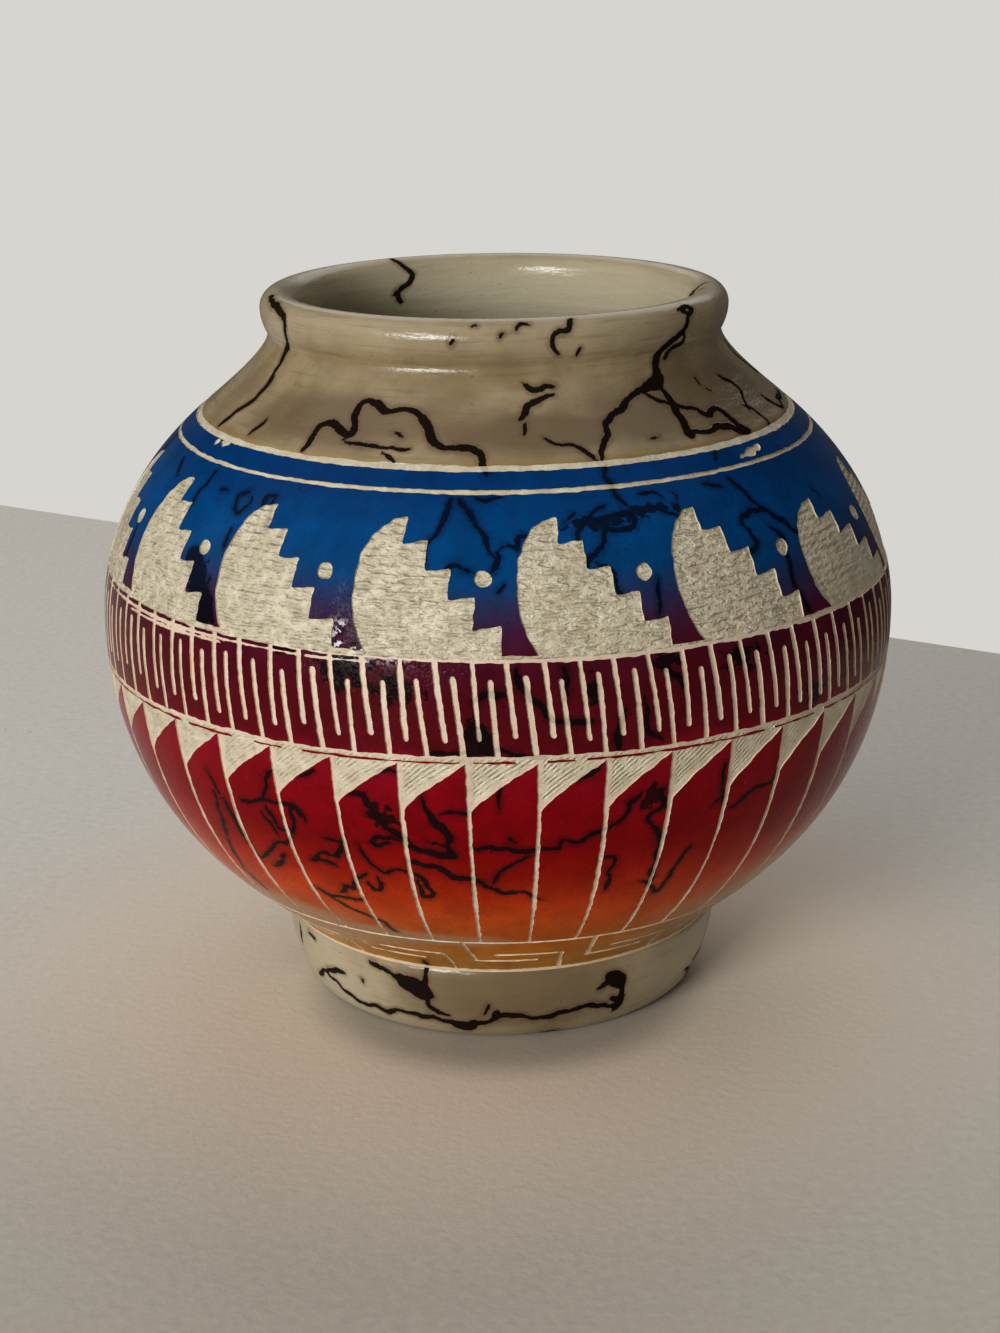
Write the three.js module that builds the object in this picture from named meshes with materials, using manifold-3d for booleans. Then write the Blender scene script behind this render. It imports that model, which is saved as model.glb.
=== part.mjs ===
// Horsehair pottery vase: a thrown and hollow clay body, and the coat of colour on its belly, which etched rings,
// combs, fans, feathers and keys cut into separate islands.
// Millimetres, +Z up. The origin is the centre of the ring that the foot rests on, and the front faces -Y.
import * as THREE from 'three';
import { mergeVertices } from 'three/addons/utils/BufferGeometryUtils.js';
import Module from 'manifold-3d';

const wasm = await Module();
wasm.setup();

// Clay body
const vaseHeight = 103;
const bellyRadius = 57;
const bellyHeight = 57;
const lowerClose = 6.5;         // height at which the belly's lower curve would close, inside the foot
const lowerFullness = 2.15;     // of the lower curve: 2 is an ellipse, and more is fuller
const upperRise = 43;           // how far above the widest point the upper curve would close
const clayWall = 4.5;
const clayFloor = 5;
const bodySegments = 48;

// Neck and rolled lip
const neckRadius = 32;
const lipRadius = 33;
const lipHeight = 6;            // from the narrowest part of the neck to the crest of the lip
const lipWidth = 5;

// Turned foot
const footRadius = 28.8;        // at the table
const footHeight = 12;
const restWidth = 6;            // of the flat ring that the vase stands on
const footRecess = 1.5;         // hollow under the foot
const footSweep = 4;            // how far the belly sweeps out to meet the top of the foot
const sweepFade = 2.5;          // height over which that sweep fades

// Coat of colour, let into the clay so that it lies flush with the bare neck and foot
const coatThickness = 0.25;
const coatGap = 0.35;
const ringWidth = 0.6;          // of an etched ring
const stylusWidth = 0.8;        // of an etched comb or feather line

// Etched rings
const colourRise = 28.9;        // from the widest point up to the upper edge of the colour
const borderWidth = 2.4;        // of the plain border round the shoulder
const fanLineRise = 7.9;        // from the widest point up to the ring under the fans
const fanLineLean = 0.4;        // that ring climbs by this on the left and sinks by it on the right
const meanderHeight = 12.7;
const keyHeight = 8.2;          // of the key band above the foot

// Stepped fans and the dots between them
const fanCount = 16;
const fanTurn = 5.6;            // of the first fan's back corner to the right of the front, in degrees
const fanHeight = 15.6;
const fanSteps = 5;
const fanWidth = 16.8;          // along the ring that the fans stand on
const fanTip = 3.2;             // from the back corner to the tip
const fanBulge = 4.9;           // how far back the handle of the arc reaches
const dotRadius = 1.05;
const dotOffset = 7.4;          // behind a fan's back corner
const dotRise = 9.3;

// Comb meander: lines that hang from the upper ring and stand on the lower one in turn
const combCount = 78;
const combTurn = 1.9;           // of the first hanging line, in degrees
const combLength = 10.1;

// Feathers
const featherCount = 40;
const featherTurn = 5;          // of the first line between feathers, in degrees
const wedgeDepth = 6.8;         // of the cut-away corner at the top of each feather

// Interlocked keys
const keyCount = 14;
const keyTurn = -7.7;           // of the first hanging key, in degrees
const keyLineWidth = 0.6;
const hangingKeyRun = 2.5;      // height of its run above the foot ring
const standingKeyRun = 4.3;
const keyReach = 0.57;          // share of the pitch that a run covers
const standingKeyPlace = 0.83;  // share of the pitch from a hanging key to the foot of the standing one

const collarLine = bellyHeight + colourRise;
const borderLine = collarLine - borderWidth;
const fanLine = bellyHeight + fanLineRise;
const meanderLine = fanLine - meanderHeight;
const footLine = footHeight;
const keyLine = footLine + keyHeight;
const coatDepth = coatThickness + coatGap;

const clay = new THREE.MeshStandardMaterial({ color: 0xa89a80, roughness: 0.35, metalness: 0 });
const bluePaint = new THREE.MeshStandardMaterial({ color: 0x0a4f9c, roughness: 0.25, metalness: 0 });
const maroonPaint = new THREE.MeshStandardMaterial({ color: 0x5c0f2c, roughness: 0.25, metalness: 0 });
const redPaint = new THREE.MeshStandardMaterial({ color: 0xa01822, roughness: 0.25, metalness: 0 });
const ochrePaint = new THREE.MeshStandardMaterial({ color: 0xb8782c, roughness: 0.35, metalness: 0 });

function vector(radius, height) {
  return new THREE.Vector2(radius, height);
}

// Radius of the belly at a height: half of a full oval below the widest point, which sweeps out to the foot at its
// lower end, and half of a flatter ellipse above it.
function bellyRadiusAt(height) {
  const below = height < bellyHeight;
  const fullness = below ? lowerFullness : 2;
  const rise = Math.abs(height - bellyHeight) / (below ? bellyHeight - lowerClose : upperRise);
  const sweep = below ? footSweep * Math.exp((footLine - height) / sweepFade) : 0;
  return bellyRadius * (1 - rise ** fullness) ** (1 / fullness) + sweep;
}

// Tangent of the belly's profile at a height, pointing up.
function skinTangent(height) {
  const step = 0.01;
  return vector(bellyRadiusAt(height + step) - bellyRadiusAt(height - step), 2 * step).normalize();
}

// Point of the belly's profile at a height, sunk into the clay by a depth.
function skin(height, depth) {
  const tangent = skinTangent(height);
  return vector(bellyRadiusAt(height) - depth * tangent.y, height + depth * tangent.x);
}

// Place on the vase at an angle from the front, positive to the right.
function wrap(angle, height, depth) {
  const place = skin(height, depth);
  return [place.x * Math.sin(angle), -place.x * Math.cos(angle), place.y];
}

// Angle that a length along the ring at a height covers.
function angleOf(length, height) {
  return length / skin(height, 0).x;
}

function fanRing(angle) {
  return fanLine - fanLineLean * Math.sin(angle);
}

// Points of a curve, without its first one.
function along(curve, steps) {
  return curve.getPoints(steps).slice(1);
}

// The body's profile runs from the middle of the foot's hollow, up the outside, over the lip, and down inside.
function footProfile() {
  const foot = skin(footLine, 0);
  const inside = footRadius - restWidth;
  const flare = new THREE.QuadraticBezierCurve(
    vector(footRadius, 0),
    vector(foot.x, footHeight * 0.45),
    foot,
  );
  return [vector(0, footRecess), vector(inside - footRecess, footRecess), vector(inside, 0), vector(footRadius, 0),
    ...along(flare, 3)];
}

// Points of the belly's profile from one height to another, closer together near both ends, where it turns.
function skinPoints(from, to, depth, steps) {
  return Array.from({ length: steps + 1 }, (_, i) => {
    const even = i / steps;
    const eased = (1 - Math.cos(Math.PI * even)) / 2;
    return skin(from + (to - from) * (even + eased) / 2, depth);
  });
}

function neckProfile() {
  const collar = skin(collarLine, 0);
  const neck = vector(neckRadius, vaseHeight - lipHeight);
  const reach = (neck.y - collar.y) / 2;
  const leave = collar.clone().addScaledVector(skinTangent(collarLine), reach);
  return [collar, ...along(new THREE.CubicBezierCurve(collar, leave, vector(neck.x, neck.y - reach / 2), neck), 4)];
}

function lipProfile() {
  const neckTop = vaseHeight - lipHeight;
  const widest = vaseHeight - lipHeight * 0.42;
  const crest = lipRadius - lipWidth / 2;
  const swell = new THREE.QuadraticBezierCurve(
    vector(neckRadius, neckTop),
    vector(lipRadius, (neckTop + widest) / 2),
    vector(lipRadius, widest),
  );
  const roll = new THREE.EllipseCurve(crest, widest, lipWidth / 2, vaseHeight - widest, 0, Math.PI);
  return [...along(swell, 2), ...along(roll, 6)];
}

function insideProfile() {
  const lip = vector(lipRadius - lipWidth, vaseHeight - lipHeight * 0.42);
  const throat = vector(neckRadius - clayWall, vaseHeight - lipHeight - clayWall / 2);
  const shoulder = skin(collarLine, clayWall);
  const reach = (throat.y - shoulder.y) / 2;
  const arrive = shoulder.clone().addScaledVector(skinTangent(collarLine), reach);
  const throatCurve = new THREE.CubicBezierCurve(lip, throat, arrive, shoulder);
  const low = (footLine + keyLine) / 2 + clayWall * 2;
  const bend = skin(low, clayWall);
  const floor = footRecess + clayFloor;
  const bowl = new THREE.CubicBezierCurve(
    bend,
    bend.clone().addScaledVector(skinTangent(low), (floor - bend.y) * 0.75),
    vector(footRadius * 0.7, floor),
    vector(0, floor),
  );
  return [...along(throatCurve, 4), ...skinPoints(collarLine, low, clayWall, 8).slice(1), ...along(bowl, 4)];
}

function clayBody() {
  const bed = skinPoints(footLine, collarLine, coatDepth, 12);
  const profile = [...footProfile(), ...bed, ...neckProfile(), ...lipProfile(), ...insideProfile()];
  return new THREE.LatheGeometry(profile, bodySegments).rotateX(Math.PI / 2);
}

// Extra columns of [angle, height] places, so that no step between two columns is longer than a flat facet may be.
function finer(columns) {
  const longest = 6;
  return columns.flatMap((column, i) => {
    const next = columns[(i + 1) % columns.length];
    const lap = i === columns.length - 1 ? 2 * Math.PI : 0;
    const gaps = column.map(([angle, height], j) => {
      const turn = (next[j][0] + lap - angle) * skin(height, 0).x;
      return Math.hypot(turn, next[j][1] - height);
    });
    const steps = Math.ceil(Math.max(...gaps) / longest);
    return Array.from({ length: steps }, (_, k) => column.map(([angle, height], j) => [
      angle + (next[j][0] + lap - angle) * k / steps,
      height + (next[j][1] - height) * k / steps,
    ]));
  });
}

function geometryOf(positions, faces) {
  const geometry = new THREE.BufferGeometry();
  geometry.setAttribute('position', new THREE.Float32BufferAttribute(positions, 3));
  geometry.setIndex(faces);
  return geometry;
}

// Sheet of the coat from columns of [angle, height] places. Columns go to the right and rows go up, seen from
// outside, and a closed sheet joins its last column to its first.
function coat(columns, closed) {
  const rows = columns[0].length;
  const sheet = columns.length * rows;
  const positions = [0, coatThickness].flatMap(
    (depth) => columns.flat().flatMap(([angle, height]) => wrap(angle, height, depth)),
  );
  const outer = (column, row) => (column % columns.length) * rows + row;
  const inner = (column, row) => outer(column, row) + sheet;
  const faces = [];
  const quad = (a, b, c, d) => faces.push(a, b, c, a, c, d);
  const top = rows - 1;
  const steps = closed ? columns.length : columns.length - 1;
  for (let i = 0; i < steps; i++) {
    for (let j = 0; j < top; j++) {
      quad(outer(i, j), outer(i + 1, j), outer(i + 1, j + 1), outer(i, j + 1));
      quad(inner(i, j), inner(i, j + 1), inner(i + 1, j + 1), inner(i + 1, j));
    }
    quad(outer(i + 1, 0), outer(i, 0), inner(i, 0), inner(i + 1, 0));
    quad(outer(i, top), outer(i + 1, top), inner(i + 1, top), inner(i, top));
  }
  for (let j = 0; j < top && !closed; j++) {
    quad(outer(0, j), outer(0, j + 1), inner(0, j + 1), inner(0, j));
    quad(outer(steps, j + 1), outer(steps, j), inner(steps, j), inner(steps, j + 1));
  }
  return geometryOf(positions, faces);
}

// Ring of the coat between two heights, each a function of the angle.
function coatRing(bottom, top, rows) {
  const columns = Array.from({ length: bodySegments }, (_, i) => {
    const angle = 2 * Math.PI * i / bodySegments;
    const low = bottom(angle) + ringWidth / 2;
    const high = top(angle) - ringWidth / 2;
    return Array.from({ length: rows + 1 }, (_, j) => [angle, low + (high - low) * j / rows]);
  });
  return coat(columns, true);
}

function solidOf(geometry) {
  const bare = new THREE.BufferGeometry();
  bare.setAttribute('position', geometry.getAttribute('position'));
  bare.setIndex(geometry.getIndex());
  const merged = mergeVertices(bare);
  return new wasm.Manifold(new wasm.Mesh({
    numProp: 3,
    vertProperties: merged.getAttribute('position').array,
    triVerts: new Uint32Array(merged.getIndex().array),
  }));
}

// Cutter through the coat whose outline is a list of [angle, height] places, anticlockwise seen from outside.
function cutter(outline) {
  const reach = 1.5;            // past both faces of the coat
  const radius = skin(outline[0][1], 0).x;
  const flat = outline.map(([angle, height]) => vector(angle * radius, height));
  const count = outline.length;
  const positions = [-reach, reach].flatMap(
    (depth) => outline.flatMap(([angle, height]) => wrap(angle, height, depth)),
  );
  const faces = [];
  for (const [a, b, c] of THREE.ShapeUtils.triangulateShape(flat, [])) {
    faces.push(a, b, c, count + a, count + c, count + b);
  }
  for (let i = 0; i < count; i++) {
    const next = (i + 1) % count;
    faces.push(next, i, count + i, next, count + i, count + next);
  }
  return solidOf(geometryOf(positions, faces));
}

function cutAway(geometry, outlines) {
  let solid = solidOf(geometry);
  for (const outline of outlines) {
    solid = solid.subtract(cutter(outline));
  }
  const mesh = solid.getMesh();
  return geometryOf([...mesh.vertProperties], [...mesh.triVerts]);
}

// Fan: an arched back, a tip, and steps down to the ring that it stands on, open at its base.
function fanOutline(turn) {
  const base = fanRing(turn);
  const tread = (fanWidth - fanTip) / (fanSteps - 1);
  const riser = fanHeight / fanSteps;
  const sole = -1;              // below the ring, so that the fan runs out through the coat's lower edge
  const back = new THREE.CubicBezierCurve(
    vector(0, 0),
    vector(-fanBulge, fanHeight / 3),
    vector(-fanBulge * 0.7, fanHeight),
    vector(fanTip, fanHeight),
  );
  const outline = [vector(0, sole), vector(fanWidth, sole)];
  for (let i = 0; i < fanSteps; i++) {
    const x = fanWidth - i * tread;
    outline.push(vector(x, i === 0 ? 0 : i * riser), vector(x, (i + 1) * riser));
  }
  outline.push(...back.getPoints(5).reverse().slice(1));
  return outline.map(({ x, y }) => [turn + angleOf(x, fanLine), base + y]);
}

function dotOutline(turn) {
  const sides = 8;
  const centre = turn - angleOf(dotOffset, fanLine);
  return Array.from({ length: sides }, (_, i) => {
    const around = 2 * Math.PI * i / sides;
    const height = fanRing(turn) + dotRise + dotRadius * Math.sin(around);
    return [centre + angleOf(dotRadius * Math.cos(around), height), height];
  });
}

function fanField() {
  const turns = Array.from({ length: fanCount }, (_, i) => fanTurn * Math.PI / 180 + 2 * Math.PI * i / fanCount);
  return cutAway(coatRing(fanRing, () => borderLine, 3), [...turns.map(fanOutline), ...turns.map(dotOutline)]);
}

// One unbroken strip that runs up, over a standing line, down, and under a hanging line.
function meanderBand() {
  const pitch = 2 * Math.PI / combCount;
  const half = angleOf(stylusWidth / 2, fanLine);
  const columns = [];
  for (let i = 0; i < combCount; i++) {
    const hanging = combTurn * Math.PI / 180 + i * pitch;
    const standing = hanging + pitch / 2;
    const next = hanging + pitch;
    const top = fanRing(standing) - ringWidth / 2;
    const bottom = meanderLine + ringWidth / 2;
    const hangingTip = fanRing(hanging) - combLength;
    const nextTip = fanRing(next) - combLength;
    const standingTip = meanderLine + combLength;
    columns.push(
      [[standing - half, bottom], [hanging + half, hangingTip]],
      [[standing - half, standingTip], [hanging + half, top]],
      [[standing + half, standingTip], [next - half, top]],
      [[standing + half, bottom], [next - half, nextTip]],
    );
  }
  return coat(finer(columns), true);
}

// Feather: a strip between two meridian lines, with its upper left corner cut away along an arched edge.
function feather(turn) {
  const rows = 4;
  const next = turn + 2 * Math.PI / featherCount;
  const bottom = keyLine + ringWidth / 2;
  const corner = meanderLine - ringWidth / 2;
  const columns = [0, 0.5, 1].map((across) => {
    const top = corner - wedgeDepth * (1 - across ** 0.8);
    return Array.from({ length: rows + 1 }, (_, j) => {
      const height = bottom + (top - bottom) * j / rows;
      const half = angleOf(stylusWidth / 2, height);
      return [turn + half + (next - turn - 2 * half) * across, height];
    });
  });
  return coat(columns, false);
}

// One unbroken strip that folds under each hanging key, back between the two keys, and over the standing one.
function keyBand() {
  const pitch = 2 * Math.PI / keyCount;
  const half = keyLineWidth / 2;
  const halfTurn = angleOf(half, keyLine);
  const bottom = footLine + ringWidth / 2;
  const top = keyLine - ringWidth / 2;
  const hangingRun = footLine + hangingKeyRun;
  const standingRun = footLine + standingKeyRun;
  const columns = [];
  for (let i = 0; i < keyCount; i++) {
    const hanging = keyTurn * Math.PI / 180 + i * pitch;
    const before = hanging - pitch * (1 - standingKeyPlace);
    const standing = before + pitch;
    const hangingEnd = hanging + pitch * keyReach;
    const standingEnd = standing - pitch * keyReach;
    columns.push(
      [[before + halfTurn, standingRun + half], [hanging - halfTurn, top]],
      [[before + halfTurn, bottom], [hanging - halfTurn, hangingRun - half]],
      [[standing - halfTurn, bottom], [hangingEnd, hangingRun - half]],
      [[standing - halfTurn, standingRun - half], [hangingEnd, hangingRun + half]],
      [[standingEnd, standingRun - half], [hanging + halfTurn, hangingRun + half]],
      [[standingEnd, standingRun + half], [hanging + halfTurn, top]],
    );
  }
  return coat(finer(columns), true);
}

const vase = new THREE.Group();

function add(name, geometry, material) {
  const mesh = new THREE.Mesh(geometry, material);
  mesh.name = name;
  vase.add(mesh);
}

add('clay_body', clayBody(), clay);
add('shoulder_border_paint', coatRing(() => borderLine, () => collarLine, 1), bluePaint);
add('fan_field_paint', fanField(), bluePaint);
add('meander_band_paint', meanderBand(), maroonPaint);
for (let i = 0; i < featherCount; i++) {
  const turn = featherTurn * Math.PI / 180 + 2 * Math.PI * i / featherCount;
  add(`feather_paint_${String(i + 1).padStart(2, '0')}`, feather(turn), redPaint);
}
add('key_band_paint', keyBand(), ochrePaint);

export default vase;
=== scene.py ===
"""Looks of a horsehair pottery vase: bare clay with burnt-on hair marks, and colour cut through by etching.

Sizes are in millimetres and degrees and turn into metres where a mesh is made. A place on the vase is an
angle from the front, positive to the right, and an arc: the length along the profile from the edge of the
foot upwards.
"""

import logging
import math
from abc import ABC, abstractmethod
from dataclasses import dataclass, field
from enum import Enum

import bpy
import numpy as np
from mathutils import Euler, Matrix

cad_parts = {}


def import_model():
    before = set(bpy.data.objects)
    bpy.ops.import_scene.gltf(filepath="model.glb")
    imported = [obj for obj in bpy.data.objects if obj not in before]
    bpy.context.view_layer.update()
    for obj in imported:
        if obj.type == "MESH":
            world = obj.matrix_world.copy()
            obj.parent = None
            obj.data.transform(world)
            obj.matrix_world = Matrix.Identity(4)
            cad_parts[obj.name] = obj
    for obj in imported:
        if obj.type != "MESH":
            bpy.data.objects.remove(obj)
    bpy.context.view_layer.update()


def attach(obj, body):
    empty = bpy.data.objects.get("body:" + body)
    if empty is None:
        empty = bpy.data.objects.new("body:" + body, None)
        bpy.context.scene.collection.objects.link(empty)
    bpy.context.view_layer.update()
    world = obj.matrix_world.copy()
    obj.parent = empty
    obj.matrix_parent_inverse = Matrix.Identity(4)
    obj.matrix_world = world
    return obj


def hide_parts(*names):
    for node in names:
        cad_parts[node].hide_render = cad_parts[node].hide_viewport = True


log = logging.getLogger("vase")

METRE = 0.001
TURN = 2 * math.pi
BODY = "root"
SHARP = 50.0
TINY = 1e-9

Array = np.ndarray
Pair = tuple[Array, Array]
Point = tuple[float, float]
Triple = tuple[float, float, float]
Patches = tuple[tuple[float, float, float, float], ...]
Beads = tuple[tuple[float, float, int], ...]
Rows = tuple[tuple[float | Point, ...], ...]
Tone = tuple[int, int, int]
Stops = tuple[tuple[float, Tone], ...]
Material = bpy.types.Material
Piece = bpy.types.Object
Socket = bpy.types.NodeSocket
Feed = Socket | float | tuple[float, ...]
Rng = np.random.Generator


class Slot(str, Enum):
    """Material slots of the part's record."""

    CLAY = "clay"
    BLUE = "blue_paint"
    MAROON = "maroon_paint"
    RED = "red_paint"
    OCHRE = "ochre_paint"


# Shape of the vase


class Contour:
    """Profile curve of radius and height, which is asked for places by its arc length."""

    least_step = 1e-6

    def __init__(self, points: Array) -> None:
        """Measures the curve, without the points that repeat the one before.

        Args:
            points: rows of radius and height, in order along the curve.
        """
        steps = np.hypot(*np.diff(points, axis=0).T)
        apart = steps > self.least_step
        self.points = points[np.concatenate([[True], apart])]
        self.arc = np.concatenate([[0.0], np.cumsum(steps[apart])])
        tangent = np.gradient(self.points, self.arc, axis=0)
        tangent /= np.linalg.norm(tangent, axis=1, keepdims=True)
        self.normal = np.stack([tangent[:, 1], -tangent[:, 0]], axis=1)

    @property
    def last(self) -> float:
        """Arc at the end of the curve."""
        return float(self.arc[-1])

    def radius(self, arc: Array) -> Array:
        """Radius at an arc."""
        return np.interp(arc, self.arc, self.points[:, 0])

    def arc_at(self, height: float | Array, inner: bool = False) -> float | Array:
        """Arc at a height, on the curve's way up or, for an inner place, on its way down.

        Args:
            height: heights on the curve.
            inner: whether they are on its way down.

        Returns:
            The arcs.
        """
        crest = int(np.argmax(self.points[:, 1]))
        part = slice(crest, None) if inner else slice(0, crest + 1)
        heights, arcs = self.points[part, 1], self.arc[part]
        order = np.argsort(heights, kind="stable")
        return np.interp(height, heights[order], arcs[order])

    def place(self, angle: Array, arc: Array, depth: float | Array = 0.0) -> Array:
        """Points in metres: the profile's point at each arc, sunk along its normal and turned about the axis.

        Args:
            angle: angles from the front, in radians.
            arc: arcs of the same shape.
            depth: how far each point lies under the surface.

        Returns:
            An array of the same shape with x, y and z as its last axis.
        """
        out, up = (np.interp(arc, self.arc, part) for part in self.normal.T)
        radius = self.radius(arc) - depth * out
        height = np.interp(arc, self.arc, self.points[:, 1]) - depth * up
        return np.stack([radius * np.sin(angle), -radius * np.cos(angle), height], axis=-1) * METRE


def bezier(corners: list[Point], steps: int) -> Array:
    """Points of a Bezier curve: the corners weighted by the Bernstein polynomials of their count.

    Args:
        corners: control points of radius and height.
        steps: number of steps along the curve.

    Returns:
        The points after the first.
    """
    share = np.linspace(0.0, 1.0, steps + 1)[1:, None]
    order = len(corners) - 1
    weights = [math.comb(order, i) * share**i * (1 - share) ** (order - i) for i in range(order + 1)]
    return sum(weight * np.array(corner, float) for weight, corner in zip(weights, corners))


@dataclass(frozen=True)
class VaseShape:
    """Sizes of the thrown vase, the same as in the part's source."""

    height: float = 103.0
    belly_radius: float = 57.0
    belly_height: float = 57.0
    lower_close: float = 6.5
    lower_fullness: float = 2.15
    upper_rise: float = 43.0
    wall: float = 4.5
    floor: float = 5.0
    foot_radius: float = 28.8
    foot_height: float = 12.0
    foot_sweep: float = 4.0
    sweep_fade: float = 2.5
    foot_recess: float = 1.5
    rest_width: float = 6.0
    foot_round: float = 1.4
    neck_radius: float = 32.0
    lip_radius: float = 33.0
    lip_height: float = 6.0
    lip_width: float = 5.0
    collar: float = 85.9
    border: float = 83.5
    fan_line: float = 64.9
    meander_line: float = 52.2
    key_line: float = 20.2
    foot_steep: float = 0.45
    lip_crown: float = 0.42
    bowl_bend: float = 0.75
    bowl_flat: float = 0.7
    pole: float = 0.02
    belly_step: float = 0.2
    bend_steps: int = 60
    lip_steps: int = 32
    small_steps: int = 20
    edge_steps: int = 8

    def belly(self, height: float | Array, upper: bool) -> float | Array:
        """Radius of the belly: an ellipse above its widest point, and below it an oval that sweeps out.

        Args:
            height: heights on the belly.
            upper: whether they are above its widest point.

        Returns:
            The radii.
        """
        fullness = 2.0 if upper else self.lower_fullness
        reach = self.upper_rise if upper else self.belly_height - self.lower_close
        rise = np.abs(height - self.belly_height) / reach
        sweep = 0.0 if upper else self.foot_sweep * np.exp((self.foot_height - height) / self.sweep_fade)
        return self.belly_radius * (1 - rise**fullness) ** (1 / fullness) + sweep

    def belly_points(self, low: float, high: float) -> Array:
        """Profile of the belly between two heights."""
        under = np.arange(low, min(high, self.belly_height), self.belly_step)
        over = np.append(np.arange(max(low, self.belly_height), high, self.belly_step), high)
        return np.concatenate([
            np.stack([self.belly(under, False), under], axis=1),
            np.stack([self.belly(over, True), over], axis=1),
        ])

    def collar_tangent(self) -> Array:
        """Direction of the profile where the belly meets the neck."""
        step = 0.01
        slope = (self.belly(self.collar + step, True) - self.belly(self.collar - step, True)) / (2 * step)
        return np.array([slope, 1.0]) / math.hypot(slope, 1.0)

    def outer_points(self) -> Array:
        """Outer profile, from the edge of the foot up to the crest of the lip."""
        foot_top = self.belly(self.foot_height, False)
        neck = (self.neck_radius, self.height - self.lip_height)
        collar = np.array([self.belly(self.collar, True), self.collar])
        leave = collar + self.collar_tangent() * (neck[1] - self.collar) / 2
        arrive = (neck[0], (neck[1] * 3 + self.collar) / 4)
        steep = (foot_top, self.foot_height * self.foot_steep)
        side = bezier([(self.foot_radius, 0.0), steep, (foot_top, self.foot_height)], self.bend_steps)
        side = side[side[:, 1] > self.foot_round]
        start = (self.foot_radius - self.foot_round, 0.0)
        swell = (self.lip_radius, (neck[1] + self.lip_widest) / 2)
        return np.concatenate([
            [start],
            bezier([start, (self.foot_radius, 0.0), tuple(side[0])], self.edge_steps),
            side[1:],
            self.belly_points(self.foot_height, self.collar)[1:],
            bezier([tuple(collar), tuple(leave), arrive, neck], self.bend_steps),
            bezier([neck, swell, (self.lip_radius, self.lip_widest)], self.small_steps),
            self.lip_points(0.0, math.pi / 2),
        ])

    def inner_points(self) -> Array:
        """Inner profile, from the crest of the lip down to the middle of the floor."""
        collar = np.array([self.belly(self.collar, True), self.collar])
        tangent = self.collar_tangent()
        shoulder = collar + self.wall * np.array([-tangent[1], tangent[0]])
        throat = (self.neck_radius - self.wall, self.height - self.lip_height - self.wall / 2)
        arrive = shoulder + tangent * (throat[1] - shoulder[1]) / 2
        low = (self.foot_height + self.key_line) / 2 + self.wall * 2
        skin = Contour(self.belly_points(low, self.collar))
        bowl = (skin.points - self.wall * skin.normal)[::-1]
        base = self.foot_recess + self.floor
        bend = bowl[-1]
        fall = skin.points[1] - skin.points[0]
        drop = bend + fall / np.linalg.norm(fall) * (base - bend[1]) * self.bowl_bend
        lip = (self.lip_radius - self.lip_width, self.lip_widest)
        flat = (self.foot_radius * self.bowl_flat, base)
        return np.concatenate([
            self.lip_points(math.pi / 2, math.pi),
            bezier([lip, throat, tuple(arrive), tuple(shoulder)], self.bend_steps),
            bowl[1:],
            bezier([tuple(bend), tuple(drop), flat, (self.pole, base)], self.bend_steps),
        ])

    @property
    def lip_widest(self) -> float:
        """Height at which the lip is widest."""
        return self.height - self.lip_height * self.lip_crown

    def lip_points(self, start: float, end: float) -> Array:
        """Points of the lip's round crest between two angles of its ellipse."""
        roll = np.linspace(start, end, self.lip_steps + 1)[1:]
        crest = self.lip_radius - self.lip_width / 2
        return np.stack([
            crest + self.lip_width / 2 * np.cos(roll),
            self.lip_widest + (self.height - self.lip_widest) * np.sin(roll),
        ], axis=1)

    def profile(self) -> Contour:
        """Whole profile, up the outside from the foot's edge and down the inside to the floor's middle."""
        return Contour(np.concatenate([self.outer_points(), self.inner_points()]))

    def underside(self) -> Contour:
        """Profile under the foot, from the middle of its hollow out to the edge."""
        inner = self.foot_radius - self.rest_width
        return Contour(np.array([
            (self.pole, self.foot_recess),
            (inner - 2 * self.foot_recess, self.foot_recess),
            (inner, 0.0),
            (self.foot_radius - self.foot_round, 0.0),
        ]))


# Grids and meshes


def mottle(shape: tuple[int, int], cell: Point, grain: float, seed: int) -> Array:
    """Smooth noise of unit spread that closes on itself: white noise whose spectrum a Gaussian cuts off.

    Args:
        shape: rows and columns.
        cell: height and width of a cell, in millimetres.
        grain: size of the noise's spots, in millimetres.
        seed: seed of the noise.

    Returns:
        An array of that shape.
    """
    noise = np.random.default_rng(seed).standard_normal(shape)
    rise = np.fft.fftfreq(shape[0], cell[0])[:, None]
    run = np.fft.fftfreq(shape[1], cell[1])[None, :]
    kept = np.exp(-((math.pi * grain) ** 2) * (rise**2 + run**2) / 2)
    smooth = np.fft.ifft2(np.fft.fft2(noise) * kept).real
    return smooth / smooth.std()


def grid_between(low: Array, high: Array, angle: Array, rows: int) -> Pair:
    """Closed grid between two curves of arc, with even steps from one to the other.

    Args:
        low: arcs of the lower curve at each angle.
        high: arcs of the upper one.
        angle: angles of the columns.
        rows: number of rows.

    Returns:
        Angles and arcs of the grid.
    """
    share = np.linspace(0.0, 1.0, rows)[:, None]
    return np.broadcast_to(angle, (rows, len(angle))).copy(), low + (high - low) * share


def quads_of(rows: int, columns: int, closed: bool) -> Array:
    """Faces of a grid whose columns go to the right and whose rows go up, seen from outside.

    Args:
        rows: number of rows.
        columns: number of columns.
        closed: whether the last column is joined to the first.

    Returns:
        Rows of four vertex numbers.
    """
    row = np.arange(rows - 1)[:, None]
    left = np.arange(columns if closed else columns - 1)[None, :]
    right = (left + 1) % columns
    below, above = row * columns, (row + 1) * columns
    return np.stack([below + left, below + right, above + right, above + left], axis=-1).reshape(-1, 4)


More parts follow.
